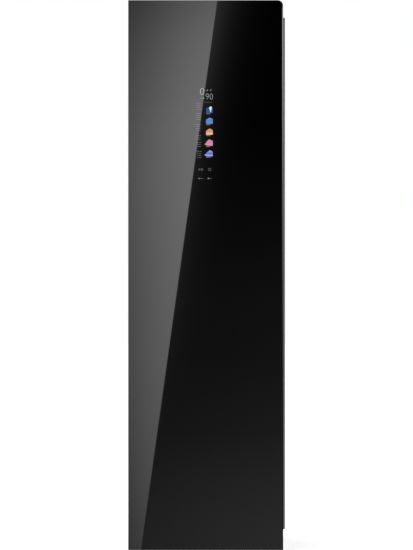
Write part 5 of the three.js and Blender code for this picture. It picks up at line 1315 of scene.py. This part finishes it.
class CABINET_OT_stage(bpy.types.Operator):
    """Sets the camera, the lamps, the floor, the surroundings and the cards that the glass mirrors"""

    bl_idname = "cabinet.stage"
    bl_label = "Stage"

    sensor_width = 36
    floor_size = 60
    # What the floor gives off to the camera beside what it scatters
    floor_glow = 0.5
    # The point that the lamps face, and each lamp's name, place, size and power
    aim = Vector((0, 0, 0.95))
    lamps = (
        ("key_lamp", (-1.9, -3.2, 2.9), 1.8, "key_power"),
        ("side_lamp", (2.8, -1.6, 2.2), 1.5, "side_power"),
        ("rear_lamp", (-1.4, 3.2, 2.6), 1.6, "side_power"),
    )

    def execute(self, context):
        stage = context.scene.cabinet_stage
        self.camera(context, stage)
        self.surroundings(context, stage)
        self.floor()
        self.lights(stage)
        card("room_card", *ROOM_CARD, stage.card_distance, room_finish(stage))
        card("side_card", *SIDE_CARD, stage.card_distance, side_finish())
        context.scene.view_settings.view_transform = "Standard"
        return {"FINISHED"}

    def camera(self, context, stage):
        bpy.ops.object.select_all(action="DESELECT")
        place = (stage.camera_side, CAD_BOX[0].y - stage.camera_distance, stage.camera_height)
        bpy.ops.object.camera_add(location=place, rotation=UPRIGHT)
        camera = context.active_object
        camera.name = "front_camera"
        camera.data.sensor_width = self.sensor_width
        camera.data.lens = self.sensor_width * stage.camera_distance / stage.picture_height
        camera.data.clip_start = 0.1
        camera.data.clip_end = 200
        context.scene.camera = camera

    def surroundings(self, context, stage):
        """White where the camera, gloss and glass see it, and a plain fill elsewhere"""
        context.scene.world = bpy.data.worlds.new("studio")
        tree = emptied(context.scene.world)
        path = tree.node("ShaderNodeLightPath").outputs
        mirrored = tree.maths("MAXIMUM", path["Is Glossy Ray"], path["Is Transmission Ray"])
        seen = tree.maths("MAXIMUM", path["Is Camera Ray"], mirrored)
        inputs = {"Color": WHITE, "Strength": tree.either(seen, stage.world_fill, 1.0)}
        background = tree.node("ShaderNodeBackground", inputs).outputs[0]
        tree.node("ShaderNodeOutputWorld", {"Surface": background})

    def floor(self):
        """A matt floor, lit up to white for the camera"""
        floor = added(bpy.ops.mesh.primitive_plane_add, size=self.floor_size)
        floor.name = "floor"
        material = bpy.data.materials.new("pale floor")
        tree = emptied(material)
        matt = tree.node("ShaderNodeBsdfDiffuse", {"Color": (0.8, 0.8, 0.8, 1)}).outputs[0]
        seen = tree.node("ShaderNodeLightPath").outputs["Is Camera Ray"]
        given_off = tree.glow(tree.times(seen, self.floor_glow))
        both = tree.node("ShaderNodeAddShader", {0: matt, 1: given_off}).outputs[0]
        tree.node("ShaderNodeOutputMaterial", {"Surface": both})
        floor.data.materials.append(material)
        floor.visible_glossy = False

    def lights(self, stage):
        for name, place, size, power in self.lamps:
            bpy.ops.object.select_all(action="DESELECT")
            turn = (self.aim - Vector(place)).to_track_quat("-Z", "Y").to_euler()
            bpy.ops.object.light_add(type="AREA", location=place, rotation=turn)
            lamp = bpy.context.active_object
            lamp.name = name
            lamp.data.size = size
            lamp.data.energy = getattr(stage, power)
            lamp.visible_glossy = False


# The add-on

PIECES = (
    CABINET_OT_frame_finishes,
    CABINET_OT_glass,
    CABINET_OT_door_frame,
    CABINET_OT_grip,
    CABINET_OT_display,
    CABINET_OT_casing,
    CABINET_OT_feet,
    CABINET_OT_chamber,
    CABINET_OT_filter,
    CABINET_OT_hangers,
    CABINET_OT_tanks,
    CABINET_OT_stage,
)


class CABINET_PT_panel(bpy.types.Panel):
    """Lists the cabinet's pieces, colours and sizes"""

    bl_idname = "CABINET_PT_panel"
    bl_label = "Steam cabinet"
    bl_space_type = "VIEW_3D"
    bl_region_type = "UI"
    bl_category = "Cabinet"

    def draw(self, context):
        for operator in PIECES:
            self.layout.operator(operator.bl_idname)
        for name, group in PROPERTY_GROUPS.items():
            box = self.layout.box()
            held = getattr(context.scene, name)
            for field in group.__annotations__:
                box.prop(held, field)


CLASSES = (*PROPERTY_GROUPS.values(), *PIECES, CABINET_PT_panel)


def register():
    for made in CLASSES:
        bpy.utils.register_class(made)
    for name, group in PROPERTY_GROUPS.items():
        setattr(bpy.types.Scene, name, bpy.props.PointerProperty(type=group))


def unregister():
    for name in PROPERTY_GROUPS:
        delattr(bpy.types.Scene, name)
    for made in reversed(CLASSES):
        bpy.utils.unregister_class(made)


def main():
    register()
    for operator in PIECES:
        family, name = operator.bl_idname.split(".")
        getattr(getattr(bpy.ops, family), name)()


if __name__ == "__main__":
    main()
